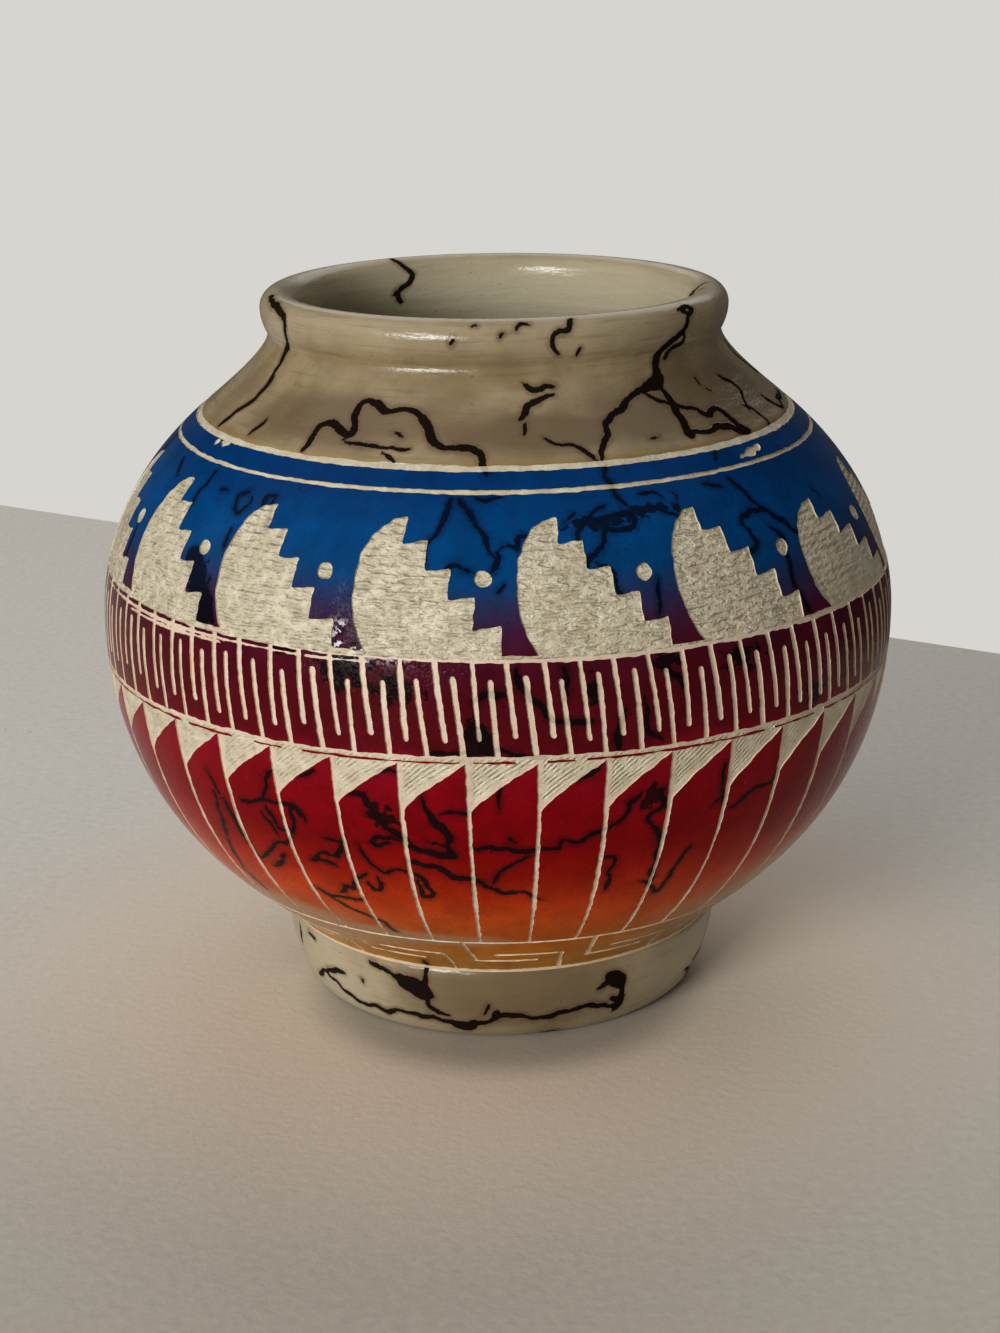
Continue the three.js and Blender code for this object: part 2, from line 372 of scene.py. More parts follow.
def new_piece(
    name: str,
    vertices: Array,
    faces: list[Array],
    finishes: list[Material],
    finish_of_face: Array | None = None,
    values: dict[str, Array] | None = None,
) -> Piece:
    """Makes a mesh object that rides on the vase.

    Args:
        name: name of the object.
        vertices: rows of x, y and z, in metres.
        faces: arrays of faces, each with its own number of corners.
        finishes: materials of the object.
        finish_of_face: index of each face's material.
        values: numbers per vertex that the materials read, by name.

    Returns:
        The object.
    """
    mesh = bpy.data.meshes.new(name)
    corners = np.concatenate([part.reshape(-1) for part in faces])
    sizes = np.concatenate([np.full(len(part), part.shape[1]) for part in faces])
    mesh.vertices.add(len(vertices))
    mesh.vertices.foreach_set("co", vertices.astype(np.float32).reshape(-1))
    mesh.loops.add(len(corners))
    mesh.loops.foreach_set("vertex_index", corners.astype(np.int32))
    mesh.polygons.add(len(sizes))
    mesh.polygons.foreach_set("loop_start", np.concatenate([[0], np.cumsum(sizes)[:-1]]).astype(np.int32))
    if finish_of_face is not None:
        mesh.polygons.foreach_set("material_index", finish_of_face.astype(np.int32))
    mesh.update(calc_edges=True)
    mesh.validate()
    for key, numbers in (values or {}).items():
        attribute = mesh.attributes.new(key, "FLOAT", "POINT")
        attribute.data.foreach_set("value", numbers.astype(np.float32).reshape(-1))
    mesh.shade_smooth()
    mesh.set_sharp_from_angle(angle=math.radians(SHARP))
    for finish in finishes:
        mesh.materials.append(finish)
    piece = bpy.data.objects.new(name, mesh)
    bpy.context.scene.collection.objects.link(piece)
    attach(piece, BODY)
    log.info("%s: %d vertices, %d faces", name, len(vertices), len(sizes))
    return piece


# Horsehair marks


@dataclass(frozen=True)
class Hair:
    """One burnt-on hair: its path of angles and heights, in degrees and millimetres, and its width."""

    path: tuple[Point, ...]
    width: float
    wander: float = 0.18
    inner: bool = False


@dataclass
class HairMarks:
    """All hairs on the vase, laid out as fine polylines of angle and arc."""

    profile: Contour
    hairs: list[Hair]
    seed: int = 11
    step: float = 0.45
    reach: float = 2.5
    stray_weights: tuple[float, ...] = (0.2, 0.6, 0.6, 0.6, 0.2)
    swell_weights: tuple[float, ...] = (0.38,) * 7
    swell: float = 0.3
    taper: Point = (0.5, 0.25)
    lines: list[Array] = field(default_factory=list)

    def __post_init__(self) -> None:
        """Lays out each hair."""
        rng = np.random.default_rng(self.seed)
        self.lines = [self.laid(hair, rng) for hair in self.hairs]

    def laid(self, hair: Hair, rng: Rng) -> Array:
        """Polyline of a hair: its path with rounded corners, a small wander to the sides and a varied width.

        Args:
            hair: the hair.
            rng: source of the wander.

        Returns:
            Rows of angle in radians, arc and half width.
        """
        path = np.array(hair.path, float)
        arcs = self.profile.arc_at(path[:, 1], hair.inner)
        radius = np.mean(self.profile.radius(arcs))
        flat = np.stack([np.radians(path[:, 0]) * radius, arcs], axis=1)
        along = np.concatenate([[0.0], np.cumsum(np.hypot(*np.diff(flat, axis=0).T))])
        count = max(4, int(along[-1] / self.step))
        share = np.linspace(0.0, along[-1], count)
        line = np.stack([np.interp(share, along, flat[:, i]) for i in range(2)], axis=1)
        line[1:-1] = (line[:-2] + line[1:-1] * 2 + line[2:]) / 4
        stray = self.drawn(count, self.stray_weights, rng)
        ahead = np.gradient(line, axis=0)
        across = ahead[:, ::-1] * [-1, 1] / np.maximum(np.hypot(*ahead.T), TINY)[:, None]
        line += across * (stray * hair.wander)[:, None]
        swell = 1 + self.swell * np.tanh(self.drawn(count, self.swell_weights, rng))
        end, growth = self.taper
        ends = np.minimum(1.0, np.minimum(np.arange(count), np.arange(count)[::-1]) * growth + end)
        return np.stack([line[:, 0] / radius, line[:, 1], hair.width / 2 * swell * ends], axis=1)

    def drawn(self, count: int, weights: tuple[float, ...], rng: Rng) -> Array:
        """Random numbers of which each is a weighted sum of neighbours."""
        return np.convolve(rng.standard_normal(count + len(weights) - 1), weights, "valid")

    def depth(self, angle: Array, arc: Array) -> Array:
        """How deep each place lies in the nearest mark: half the mark's width less the distance to its line.

        Args:
            angle: angles, in radians.
            arc: arcs of the same shape.

        Returns:
            Millimetres, positive in a mark, and never under the reach.
        """
        radius = self.profile.radius(arc)
        best = np.full(angle.shape, -self.reach)
        for line in self.lines:
            low, high = line[:, 1].min() - self.reach, line[:, 1].max() + self.reach
            if low > arc.max() or high < arc.min():
                continue
            middle = line[:, 0].mean()
            turn = (angle - middle + math.pi) % TURN - math.pi
            near = np.abs(turn) * radius < np.abs(line[:, 0] - middle).max() * radius + self.reach
            near &= (arc > low) & (arc < high)
            if near.any():
                path = np.stack([line[:, 0] - middle, line[:, 1], line[:, 2]], axis=1)
                best[near] = np.maximum(best[near], depth_in_path(turn[near], arc[near], radius[near], path))
        return best


def depth_in_path(angle: Array, arc: Array, radius: Array, path: Array) -> Array:
    """How deep places lie in a drawn line: half its width less the distance to the nearest of its segments.

    Args:
        angle: angles of the places, in radians.
        arc: their arcs.
        radius: their radii, which turn angles into lengths.
        path: rows of angle, arc and half width.

    Returns:
        Millimetres, positive in the line.
    """
    best = np.full(angle.shape, -np.inf)
    for start, end in zip(path[:-1], path[1:]):
        run = ((end[0] - start[0]) * radius, end[1] - start[1])
        off = ((angle - start[0]) * radius, arc - start[1])
        square = np.maximum(run[0] ** 2 + run[1] ** 2, TINY)
        share = np.clip((off[0] * run[0] + off[1] * run[1]) / square, 0.0, 1.0)
        distance = np.hypot(off[0] - share * run[0], off[1] - share * run[1])
        best = np.maximum(best, start[2] + (end[2] - start[2]) * share - distance)
    return best


def depth_in_outline(angle: Array, arc: Array, radius: Array, outline: Array) -> Array:
    """How deep places lie in a closed outline: the distance to its edge, negative outside it.

    Args:
        angle: angles of the places, in radians.
        arc: their arcs.
        radius: their radii, which turn angles into lengths.
        outline: rows of angle and arc.

    Returns:
        Millimetres, positive in the outline.
    """
    closed = np.concatenate([outline, outline[:1]])
    edge = -depth_in_path(angle, arc, radius, np.column_stack([closed, np.zeros(len(closed))]))
    within = np.zeros(angle.shape, bool)
    for start, end in zip(closed[:-1], closed[1:]):
        spans = (start[1] > arc) != (end[1] > arc)
        rise = end[1] - start[1]
        cross = start[0] + (arc - start[1]) * (end[0] - start[0]) / (rise if rise else 1.0)
        within ^= spans & (angle < cross)
    return np.where(within, edge, -edge)


def crossings(angle: Array, arc: Array, depth: Array, reached: tuple[Array, Array, Array]) -> Pair:
    """Places where the edge of a cut crosses the sides of a grid: the depth changes evenly along a side.

    Args:
        angle: angles at which the sides start, in radians.
        arc: their arcs.
        depth: how deep they lie in a cut.
        reached: angles, arcs and depths at which the sides end.

    Returns:
        Angles and arcs, which mean nothing on a side that no edge crosses.
    """
    span = depth - reached[2]
    nearest, farthest = 0.01, 0.99
    share = np.clip(depth / np.where(span == 0.0, 1.0, span), nearest, farthest)
    turn = (reached[0] - angle + math.pi) % TURN - math.pi
    return angle + share * turn, arc + share * (reached[1] - arc)


def cut_out(angle: Array, arc: Array, depth: Array) -> tuple[Array, Array, list[Array]]:
    """Closed grid without its cuts: every cell keeps the part of it that lies in no cut.

    Args:
        angle: angles of the grid, in radians.
        arc: arcs of the grid.
        depth: how deep each vertex lies in a cut, negative in the coat.

    Returns:
        Angles and arcs of the vertices, of which some are in no face, and faces by their number of corners.
    """
    rows, columns = angle.shape
    grid = (angle, arc, depth)
    level = crossings(*grid, tuple(np.roll(values, -1, 1) for values in grid))
    upright = crossings(*(values[:-1] for values in grid), tuple(values[1:] for values in grid))
    number = np.arange(rows * columns).reshape(rows, columns)
    on_level = number + rows * columns
    on_upright = number[:-1] + 2 * rows * columns
    around = [
        number[:-1], on_level[:-1], np.roll(number, -1, 1)[:-1], np.roll(on_upright, -1, 1),
        np.roll(number, -1, 1)[1:], on_level[1:], number[1:], on_upright,
    ]
    loop = np.stack([part.reshape(-1) for part in around], axis=1)
    kept = depth.reshape(-1)[loop[:, ::2]] < 0
    crossed = kept != np.roll(kept, -1, 1)
    present = np.stack([kept, crossed], axis=2).reshape(-1, 8)
    corners = present.sum(axis=1)
    faces = [loop[corners == count][present[corners == count]].reshape(-1, count) for count in range(3, 7)]
    angles = np.concatenate([part.reshape(-1) for part in (angle, level[0], upright[0])])
    arcs = np.concatenate([part.reshape(-1) for part in (arc, level[1], upright[1])])
    return angles, arcs, [part for part in faces if len(part)]


def rim_of(faces: list[Array]) -> Array:
    """Edges that only one face has, in that face's direction."""
    edges = np.concatenate([np.stack([part, np.roll(part, -1, 1)], axis=-1).reshape(-1, 2) for part in faces])
    count = int(edges.max()) + 1
    forth = edges[:, 0].astype(np.int64) * count + edges[:, 1]
    back = edges[:, 1].astype(np.int64) * count + edges[:, 0]
    return edges[~np.isin(forth, back)]


# Materials


def srgb(tone: Tone) -> tuple[float, float, float, float]:
    """Linear colour of an sRGB one: the sRGB curve's power law, with its straight foot."""
    shares = [channel / 255 for channel in tone]
    linear = [share / 12.92 if share <= 0.04045 else ((share + 0.055) / 1.055) ** 2.4 for share in shares]
    return (*linear, 1.0)


@dataclass(frozen=True)
class Grain:
    """Noise from 0 to 1: size of its spots in millimetres, its detail, and how far each axis draws it out."""

    size: float
    detail: float = 2.0
    rough: float = 0.5
    stretch: Triple = (1.0, 1.0, 1.0)


Layers = tuple[tuple[Grain, float], ...]


@dataclass(frozen=True)
class Wander:
    """Noise about zero: size of its spots in millimetres, twice its farthest values, and its detail."""

    size: float
    reach: float
    detail: float = 2.0


@dataclass(frozen=True)
class Ease:
    """Limits between which a number eases from 0 up to a top."""

    start: float
    full: float
    top: float = 1.0


@dataclass(frozen=True)
class Stain:
    """Tone that lies in the spots of a noise."""

    grain: Grain
    ease: Ease
    tone: Tone


@dataclass(frozen=True)
class Mark:
    """Tone that lies where a number held by the mesh is high, with an edge that wanders."""

    number: str
    ease: Ease
    tone: Tone
    edge: Wander | None = None


class Tree:
    """Node tree of a material, built by calls that return the new node's output."""

    # Numbers of a Mix node's colour sockets, whose names belong to other sockets too
    mix_first, mix_second, mix_result = 6, 7, 2

    def __init__(self, name: str) -> None:
        """Makes an empty material of that name.

        Args:
            name: name of the material.
        """
        self.material = bpy.data.materials.new(name)
        self.material.use_nodes = True
        self.nodes = self.material.node_tree.nodes
        self.nodes.clear()
        self.shader = self.nodes.new("ShaderNodeBsdfPrincipled")
        self.node("ShaderNodeOutputMaterial", {"Surface": self.shader.outputs["BSDF"]})

    def feed(self, socket: Socket, value: Feed) -> None:
        """Links an output to a socket, or sets the socket to a number or a colour."""
        if isinstance(value, Socket):
            self.material.node_tree.links.new(value, socket)
        else:
            socket.default_value = value

    def node(self, kind: str, feeds: dict[str | int, Feed], **settings: str) -> bpy.types.Node:
        """Adds a node.

        Args:
            kind: type of the node.
            feeds: what its inputs are fed with, by their names or numbers.
            settings: its other settings.

        Returns:
            The node.
        """
        node = self.nodes.new(kind)
        for name, setting in settings.items():
            setattr(node, name, setting)
        for key, value in feeds.items():
            self.feed(node.inputs[key], value)
        return node

    def place(self) -> Socket:
        """Position in the object's own frame."""
        return self.node("ShaderNodeTexCoord", {}).outputs["Object"]

    def value(self, name: str) -> Socket:
        """Number that the mesh holds under that name."""
        return self.node("ShaderNodeAttribute", {}, attribute_name=name).outputs["Fac"]

    def along(self, axis: str) -> Socket:
        """Position along one axis, in millimetres."""
        split = self.node("ShaderNodeSeparateXYZ", {"Vector": self.place()})
        return self.math("DIVIDE", split.outputs[axis], METRE)

    def away(self, x: float, y: float) -> Socket:
        """Distance from a place on the table, in millimetres."""
        feeds = {0: self.place(), 1: (x * METRE, y * METRE, 0.0)}
        apart = self.node("ShaderNodeVectorMath", feeds, operation="DISTANCE")
        return self.math("DIVIDE", apart.outputs["Value"], METRE)

    def math(self, operation: str, *numbers: Feed) -> Socket:
        """Result of a math operation on one or two numbers."""
        return self.node("ShaderNodeMath", dict(enumerate(numbers)), operation=operation).outputs[0]

    def add(self, first: Feed, second: Feed) -> Socket:
        """Sum of two numbers."""
        return self.math("ADD", first, second)

    def times(self, first: Feed, second: Feed) -> Socket:
        """Product of two numbers."""
        return self.math("MULTIPLY", first, second)

    def most(self, first: Feed, second: Feed) -> Socket:
        """Larger one of two numbers."""
        return self.math("MAXIMUM", first, second)

    def smooth(self, value: Feed, ease: Ease) -> Socket:
        """Value eased between two limits by the smoothstep curve."""
        feeds = {"Value": value, "From Min": ease.start, "From Max": ease.full, "To Max": ease.top}
        return self.node("ShaderNodeMapRange", feeds, interpolation_type="SMOOTHSTEP").outputs["Result"]

    def noise(self, grain: Grain) -> Socket:
        """Noise from 0 to 1."""
        scale = tuple(1 / (grain.size * METRE * drawn) for drawn in grain.stretch)
        mapped = self.node("ShaderNodeMapping", {"Vector": self.place(), "Scale": scale})
        feeds = {"Vector": mapped.outputs[0], "Scale": 1.0, "Detail": grain.detail, "Roughness": grain.rough}
        return self.node("ShaderNodeTexNoise", feeds).outputs["Fac"]

    def wandering(self, number: Feed, *edges: Wander) -> Socket:
        """Number with noises about zero added, so that what it bounds has uneven edges."""
        for edge in edges:
            centred = self.math("SUBTRACT", self.noise(Grain(edge.size, edge.detail)), 0.5)
            number = self.add(number, self.times(centred, edge.reach))
        return number

    def mix(self, factor: Feed, first: Feed, second: Feed, way: str = "MIX") -> Socket:
        """Two colours mixed, or blended in another way."""
        feeds = {"Factor": factor, self.mix_first: first, self.mix_second: second}
        return self.node("ShaderNodeMix", feeds, data_type="RGBA", blend_type=way).outputs[self.mix_result]

    def stained(self, colour: Feed, stain: Stain) -> Socket:
        """Colour with a stain over it."""
        return self.mix(self.smooth(self.noise(stain.grain), stain.ease), colour, srgb(stain.tone))

    def marked(self, colour: Feed, mark: Mark) -> Socket:
        """Colour with a mark over it."""
        edges = [] if mark.edge is None else [mark.edge]
        number = self.wandering(self.value(mark.number), *edges)
        return self.mix(self.smooth(number, mark.ease), colour, srgb(mark.tone))

    def ramp(self, factor: Feed, stops: Stops) -> Socket:
        """Colour from a ramp of places from 0 to 1.

        Args:
            factor: place on the ramp.
            stops: places and their tones.

        Returns:
            The colour.
        """
        node = self.node("ShaderNodeValToRGB", {"Fac": factor})
        elements = node.color_ramp.elements
        while len(elements) < len(stops):
            elements.new(1.0)
        for element, (place, tone) in zip(elements, stops):
            element.position = place
            element.color = srgb(tone)
        return node.outputs["Color"]

    def bump(self, height: Feed, rise: float, under: Socket | None = None) -> Socket:
        """Normal of a relief whose height of 1 stands for a rise in millimetres, on top of another relief."""
        feeds = {"Strength": 1.0, "Distance": rise * METRE, "Height": height}
        if under is not None:
            feeds["Normal"] = under
        return self.node("ShaderNodeBump", feeds).outputs["Normal"]

    def relief(self, layers: Layers) -> Socket:
        """Normal of noises on top of each other, each with its rise in millimetres."""
        normal = None
        for grain, rise in layers:
            normal = self.bump(self.noise(grain), rise, normal)
        return normal

    def finish(self, **sockets: Feed) -> Material:
        """Feeds the shader's sockets, whose names have underscores here, and returns the material."""
        for name, value in sockets.items():
            self.feed(self.shader.inputs[name.replace("_", " ")], value)
        return self.material


@dataclass(frozen=True)
class BellyPaint:
    """Sprayed colour that changes with the height, with the marks of hairs dark under it."""

    name: str = "belly_paint"
    stops: Stops = (
        (12, (166, 118, 52)), (18, (196, 116, 30)), (22, (190, 88, 18)), (26.5, (194, 70, 12)),
        (30.5, (178, 46, 6)), (34.5, (148, 18, 6)), (39, (130, 4, 10)), (46, (136, 6, 18)),
        (51.5, (134, 10, 28)), (54, (96, 12, 22)), (60, (84, 12, 22)), (65, (76, 18, 38)),
        (68, (66, 32, 62)), (71, (42, 50, 90)), (74, (8, 68, 122)), (78, (0, 70, 130)),
        (84, (0, 56, 114)),
    )
    lowest: float = 10.0
    highest: float = 88.0
    drift: Wander = Wander(16.0, 5.0, 3.0)
    cloud: Tone = (130, 130, 134)
    clear: Stain = Stain(Grain(5.0, 4.0, 0.6), Ease(0.25, 0.75), (255, 255, 255))
    cloud_share: float = 0.4
    thin: Mark = Mark("thin", Ease(0.1, 0.6, 0.85), (158, 128, 96), Wander(5.0, 0.5, 3.0))
    speck: Stain = Stain(Grain(0.5, 2.0, 0.6), Ease(0.56, 0.72, 0.3), (24, 10, 16))
    burnt: Tone = (11, 8, 11)
    burnt_blue: Tone = (4, 13, 32)
    blue: Ease = Ease(64.0, 72.0)
    hair_edge: tuple[Wander, ...] = (Wander(0.5, 0.4), Wander(1.5, 0.5))
    core: Ease = Ease(-0.14, 0.0, 0.96)
    halo_edge: Wander = Wander(1.6, 1.2)
    halo: Ease = Ease(-0.9, 0.15, 0.5)
    soot_edge: Wander = Wander(1.4, 2.2, 4.0)
    soot: Ease = Ease(0.5, 0.66, 0.92)
    glint_edge: Wander = Wander(0.9, 2.6, 3.0)
    glint: Ease = Ease(0.5, 0.85)
    glint_grain: Grain = Grain(0.45, 1.0)
    glint_spots: Ease = Ease(0.42, 0.56)
    glint_relief: Grain = Grain(0.7, 2.0, 0.7)
    glint_rise: float = 0.65
    layers: Layers = ((Grain(0.6, 3.0, 0.6), 0.07), (Grain(4.0), 0.08))
    roughness: float = 0.16
    gloss: float = 0.045
    glaze: float = 0.12

    def sprayed(self, tree: Tree, height: Socket) -> Socket:
        """Colour at each height, clouded and specked, and thinned where the mesh says so.

        Args:
            tree: tree of the material.
            height: height with its drift.

        Returns:
            The colour.
        """
        span = self.highest - self.lowest
        share = tree.math("DIVIDE", tree.math("SUBTRACT", height, self.lowest), span)
        colour = tree.ramp(share, tuple(((level - self.lowest) / span, tone) for level, tone in self.stops))
        cloud = tree.stained(srgb(self.cloud), self.clear)
        colour = tree.mix(self.cloud_share, colour, cloud, "MULTIPLY")
        return tree.stained(tree.marked(colour, self.thin), self.speck)

    def material(self) -> Material:
        """Material of the coat."""
        tree = Tree(self.name)
        height = tree.wandering(tree.along("Z"), self.drift)
        hair = tree.wandering(tree.value("hair"), *self.hair_edge)
        halo = tree.smooth(tree.wandering(hair, self.halo_edge), self.halo)
        soot = tree.smooth(tree.wandering(tree.value("soot"), self.soot_edge), self.soot)
        core = tree.most(tree.smooth(hair, self.core), soot)
        burnt = tree.mix(tree.smooth(height, self.blue), srgb(self.burnt), srgb(self.burnt_blue))
        glint = tree.smooth(tree.wandering(tree.value("glint"), self.glint_edge), self.glint)
        crinkle = tree.times(tree.value("glint"), tree.noise(self.glint_relief))
        return tree.finish(
            Base_Color=tree.mix(tree.most(halo, core), self.sprayed(tree, height), burnt),
            Roughness=self.roughness,
            Specular_IOR_Level=self.gloss,
            Coat_Weight=tree.times(glint, tree.smooth(tree.noise(self.glint_grain), self.glint_spots)),
            Coat_Roughness=self.glaze,
            Normal=tree.bump(crinkle, self.glint_rise, tree.relief(self.layers)),
        )


@dataclass(frozen=True)
class BareClay:
    """Burnished bare clay, grey-beige with smoke clouds that are partly painted shade, dark hair marks,
    greyer and painted lighter inside, and painted lighter at the lip's crest.
    """

    name: str = "bare_clay"
    dark: Tone = (133, 114, 82)
    light: Stain = Stain(Grain(9.0, 4.0, 0.6), Ease(0.3, 0.7), (163, 145, 111))
    # Smoke clouds darken the clay; the cloud at the front of the foot is also painted shade under the belly.
    smoke: Mark = Mark("smoke", Ease(0.15, 0.8, 0.85), (104, 86, 60), Wander(12.0, 0.9, 3.0))
    # Inside, the clay is painted greyer and lighter: greyer clay, and partly painted light that the inside
    # catches.
    inner: Mark = Mark("inner", Ease(0.0, 1.0, 0.85), (192, 184, 158))
    # The crest tone paints the lip's crest lighter and greyer: a painted highlight on the lip's top.
    crest: Tone = (176, 163, 134)
    crest_light_edge: Wander = Wander(7.0, 1.2, 3.0)
    crest_light_heights: Ease = Ease(97.0, 101.5, 0.5)
    rim: Tone = (142, 118, 74)
    rim_edge: Wander = Wander(2.5, 0.6)
    rim_low: Ease = Ease(84.0, 85.0)
    rim_high: Ease = Ease(87.2, 86.4, 0.6)
    streak: Tone = (112, 94, 66)
    streak_grain: Grain = Grain(1.0, 2.0, 0.6, (9.0, 9.0, 0.5))
    streak_spots: Ease = Ease(0.5, 0.72, 0.35)
    outside: Ease = Ease(1.0, 0.0)
    speck: Stain = Stain(Grain(0.6, 2.0, 0.7), Ease(0.64, 0.76, 0.45), (84, 68, 48))
    hair_edge: Wander = Wander(0.5, 0.3)
    halo: Tone = (92, 66, 40)
    halo_edge: Wander = Wander(2.2, 1.4, 3.0)
    halo_ease: Ease = Ease(-0.9, 0.05, 0.6)
    core: Tone = (18, 12, 11)
    core_ease: Ease = Ease(-0.15, -0.03, 0.97)
    core_rise: float = 0.02
    layers: Layers = (
        (Grain(0.6, 3.0, 0.6), 0.03),
        (Grain(2.4, 3.0, 0.6, (1.6, 1.6, 0.6)), 0.1),
        (Grain(4.0, 3.0, 0.5, (2.0, 2.0, 0.3)), 0.1),
    )
    roughness: float = 0.24
    gloss: float = 0.45

    def fired(self, tree: Tree) -> Socket:
        """Colour of the clay without hairs: smoked, with painted shade in part of the smoke, greyer and
        painted lighter inside, painted lighter at the crest as a painted highlight, and tinted above the
        coat.

        Args:
            tree: tree of the material.

        Returns:
            The colour.
        """
        colour = tree.stained(srgb(self.dark), self.light)
        colour = tree.marked(tree.marked(colour, self.smoke), self.inner)
        # Painted highlight: the lip's crest between these heights is painted in the crest tone.
        crest = tree.smooth(tree.wandering(tree.along("Z"), self.crest_light_edge), self.crest_light_heights)
        colour = tree.mix(crest, colour, srgb(self.crest))
        height = tree.wandering(tree.along("Z"), self.rim_edge)
        rim = tree.times(tree.smooth(height, self.rim_low), tree.smooth(height, self.rim_high))
        colour = tree.mix(rim, colour, srgb(self.rim))
        streak = tree.smooth(tree.noise(self.streak_grain), self.streak_spots)
        streak = tree.times(streak, tree.smooth(tree.value("inner"), self.outside))
        return tree.stained(tree.mix(streak, colour, srgb(self.streak)), self.speck)

    def material(self) -> Material:
        """Material of the clay that was never coloured."""
        tree = Tree(self.name)
        hair = tree.wandering(tree.value("hair"), self.hair_edge)
        halo = tree.smooth(tree.wandering(hair, self.halo_edge), self.halo_ease)
        core = tree.smooth(hair, self.core_ease)
        colour = tree.mix(halo, self.fired(tree), srgb(self.halo))
        return tree.finish(
            Base_Color=tree.mix(core, colour, srgb(self.core)),
            Roughness=self.roughness,
            Specular_IOR_Level=tree.smooth(core, Ease(1.0, 0.0, self.gloss)),
            Normal=tree.bump(core, self.core_rise, tree.relief(self.layers)),
        )


@dataclass(frozen=True)
class EtchedClay:
    """Pale clay where a tool cut through the colour, with the tool's strokes side by side."""

    name: str = "etched_clay"
    shade: Tone = (200, 187, 158)
    pale: Stain = Stain(Grain(2.4, 4.0, 0.65), Ease(0.35, 0.7), (226, 216, 190))
    stain: Stain = Stain(Grain(0.9, 3.0, 0.7), Ease(0.58, 0.76, 0.5), (150, 134, 106))
    # Painted reflected light: the narrow lines are tinged rosy among the red paint and tan among the ochre,
    # below the blue.
    rosy: Tone = (232, 202, 182)
    tan: Tone = (228, 188, 146)
    rosy_heights: Ease = Ease(19.4, 20.6)
    tinged_lines: Ease = Ease(0.2, 0.0, 0.5)
    tinged_heights: Ease = Ease(68.0, 66.0)
    hair: Mark = Mark("hair", Ease(-0.2, 0.1, 0.3), (88, 70, 52))
    stroke_edge: Wander = Wander(2.0, 0.5, 3.0)
    dash_grain: Grain = Grain(1.0, 2.0, 0.5, (1.3, 1.3, 0.8))
    dashes: Ease = Ease(0.38, 0.6)
    # The stain's tone is painted into the strokes' grooves and the scales' hollows as painted shade.
    groove_shade: Ease = Ease(0.3, 1.0, 0.18)
    ridge_rise: float = 0.2
    scale_grain: Grain = Grain(0.85, 2.0, 0.6, (1.5, 1.5, 0.75))
    scale_hollow_shade: Ease = Ease(0.55, 0.75, 0.4)
    scale_rise: float = 0.3
    layers: Layers = ((Grain(0.45, 3.0, 0.7), 0.12),)
    roughness: float = 0.34
    gloss: float = 0.45

    def cut(self, tree: Tree) -> Socket:
        """Colour of the bared clay: stained, tinged in the narrow lines with painted light reflected from the
        paint beside them, and darker over hairs.

        Args:
            tree: tree of the material.

        Returns:
            The colour.
        """
        colour = tree.stained(tree.stained(srgb(self.shade), self.pale), self.stain)
        # Painted reflected light from the paint beside the narrow lines.
        tinge = tree.mix(tree.smooth(tree.along("Z"), self.rosy_heights), srgb(self.tan), srgb(self.rosy))
        narrow = tree.smooth(tree.value("rasp"), self.tinged_lines)
        tinged = tree.times(narrow, tree.smooth(tree.along("Z"), self.tinged_heights))
        return tree.marked(tree.mix(tinged, colour, tinge), self.hair)

    def material(self) -> Material:
        """Material of the etched floors and the cuts' walls, ridged by a sine wave over the strokes, with
        painted shade in the grooves and in the hollows of the scales.
        """
        tree = Tree(self.name)
        stroke = tree.wandering(tree.value("stroke"), self.stroke_edge)
        wave = tree.math("SINE", tree.times(stroke, TURN))
        dash = tree.smooth(tree.noise(self.dash_grain), self.dashes)
        ridges = tree.times(wave, tree.times(tree.value("rasp"), dash))
        scale = tree.times(tree.noise(self.scale_grain), tree.smooth(tree.value("rasp"), Ease(0.0, 1.0)))
        # Painted shade: the strokes' grooves take the stain's tone.
        colour = tree.mix(tree.smooth(ridges, self.groove_shade), self.cut(tree), srgb(self.stain.tone))
        relief = tree.bump(tree.times(scale, -1.0), self.scale_rise, tree.relief(self.layers))
        return tree.finish(
            # Painted shade: the scales' hollows take the stain's tone.
            Base_Color=tree.mix(tree.smooth(scale, self.scale_hollow_shade), colour, srgb(self.stain.tone)),
            Roughness=self.roughness,
            Specular_IOR_Level=self.gloss,
            Normal=tree.bump(tree.times(ridges, -1.0), self.ridge_rise, relief),
        )


# The vase's pieces


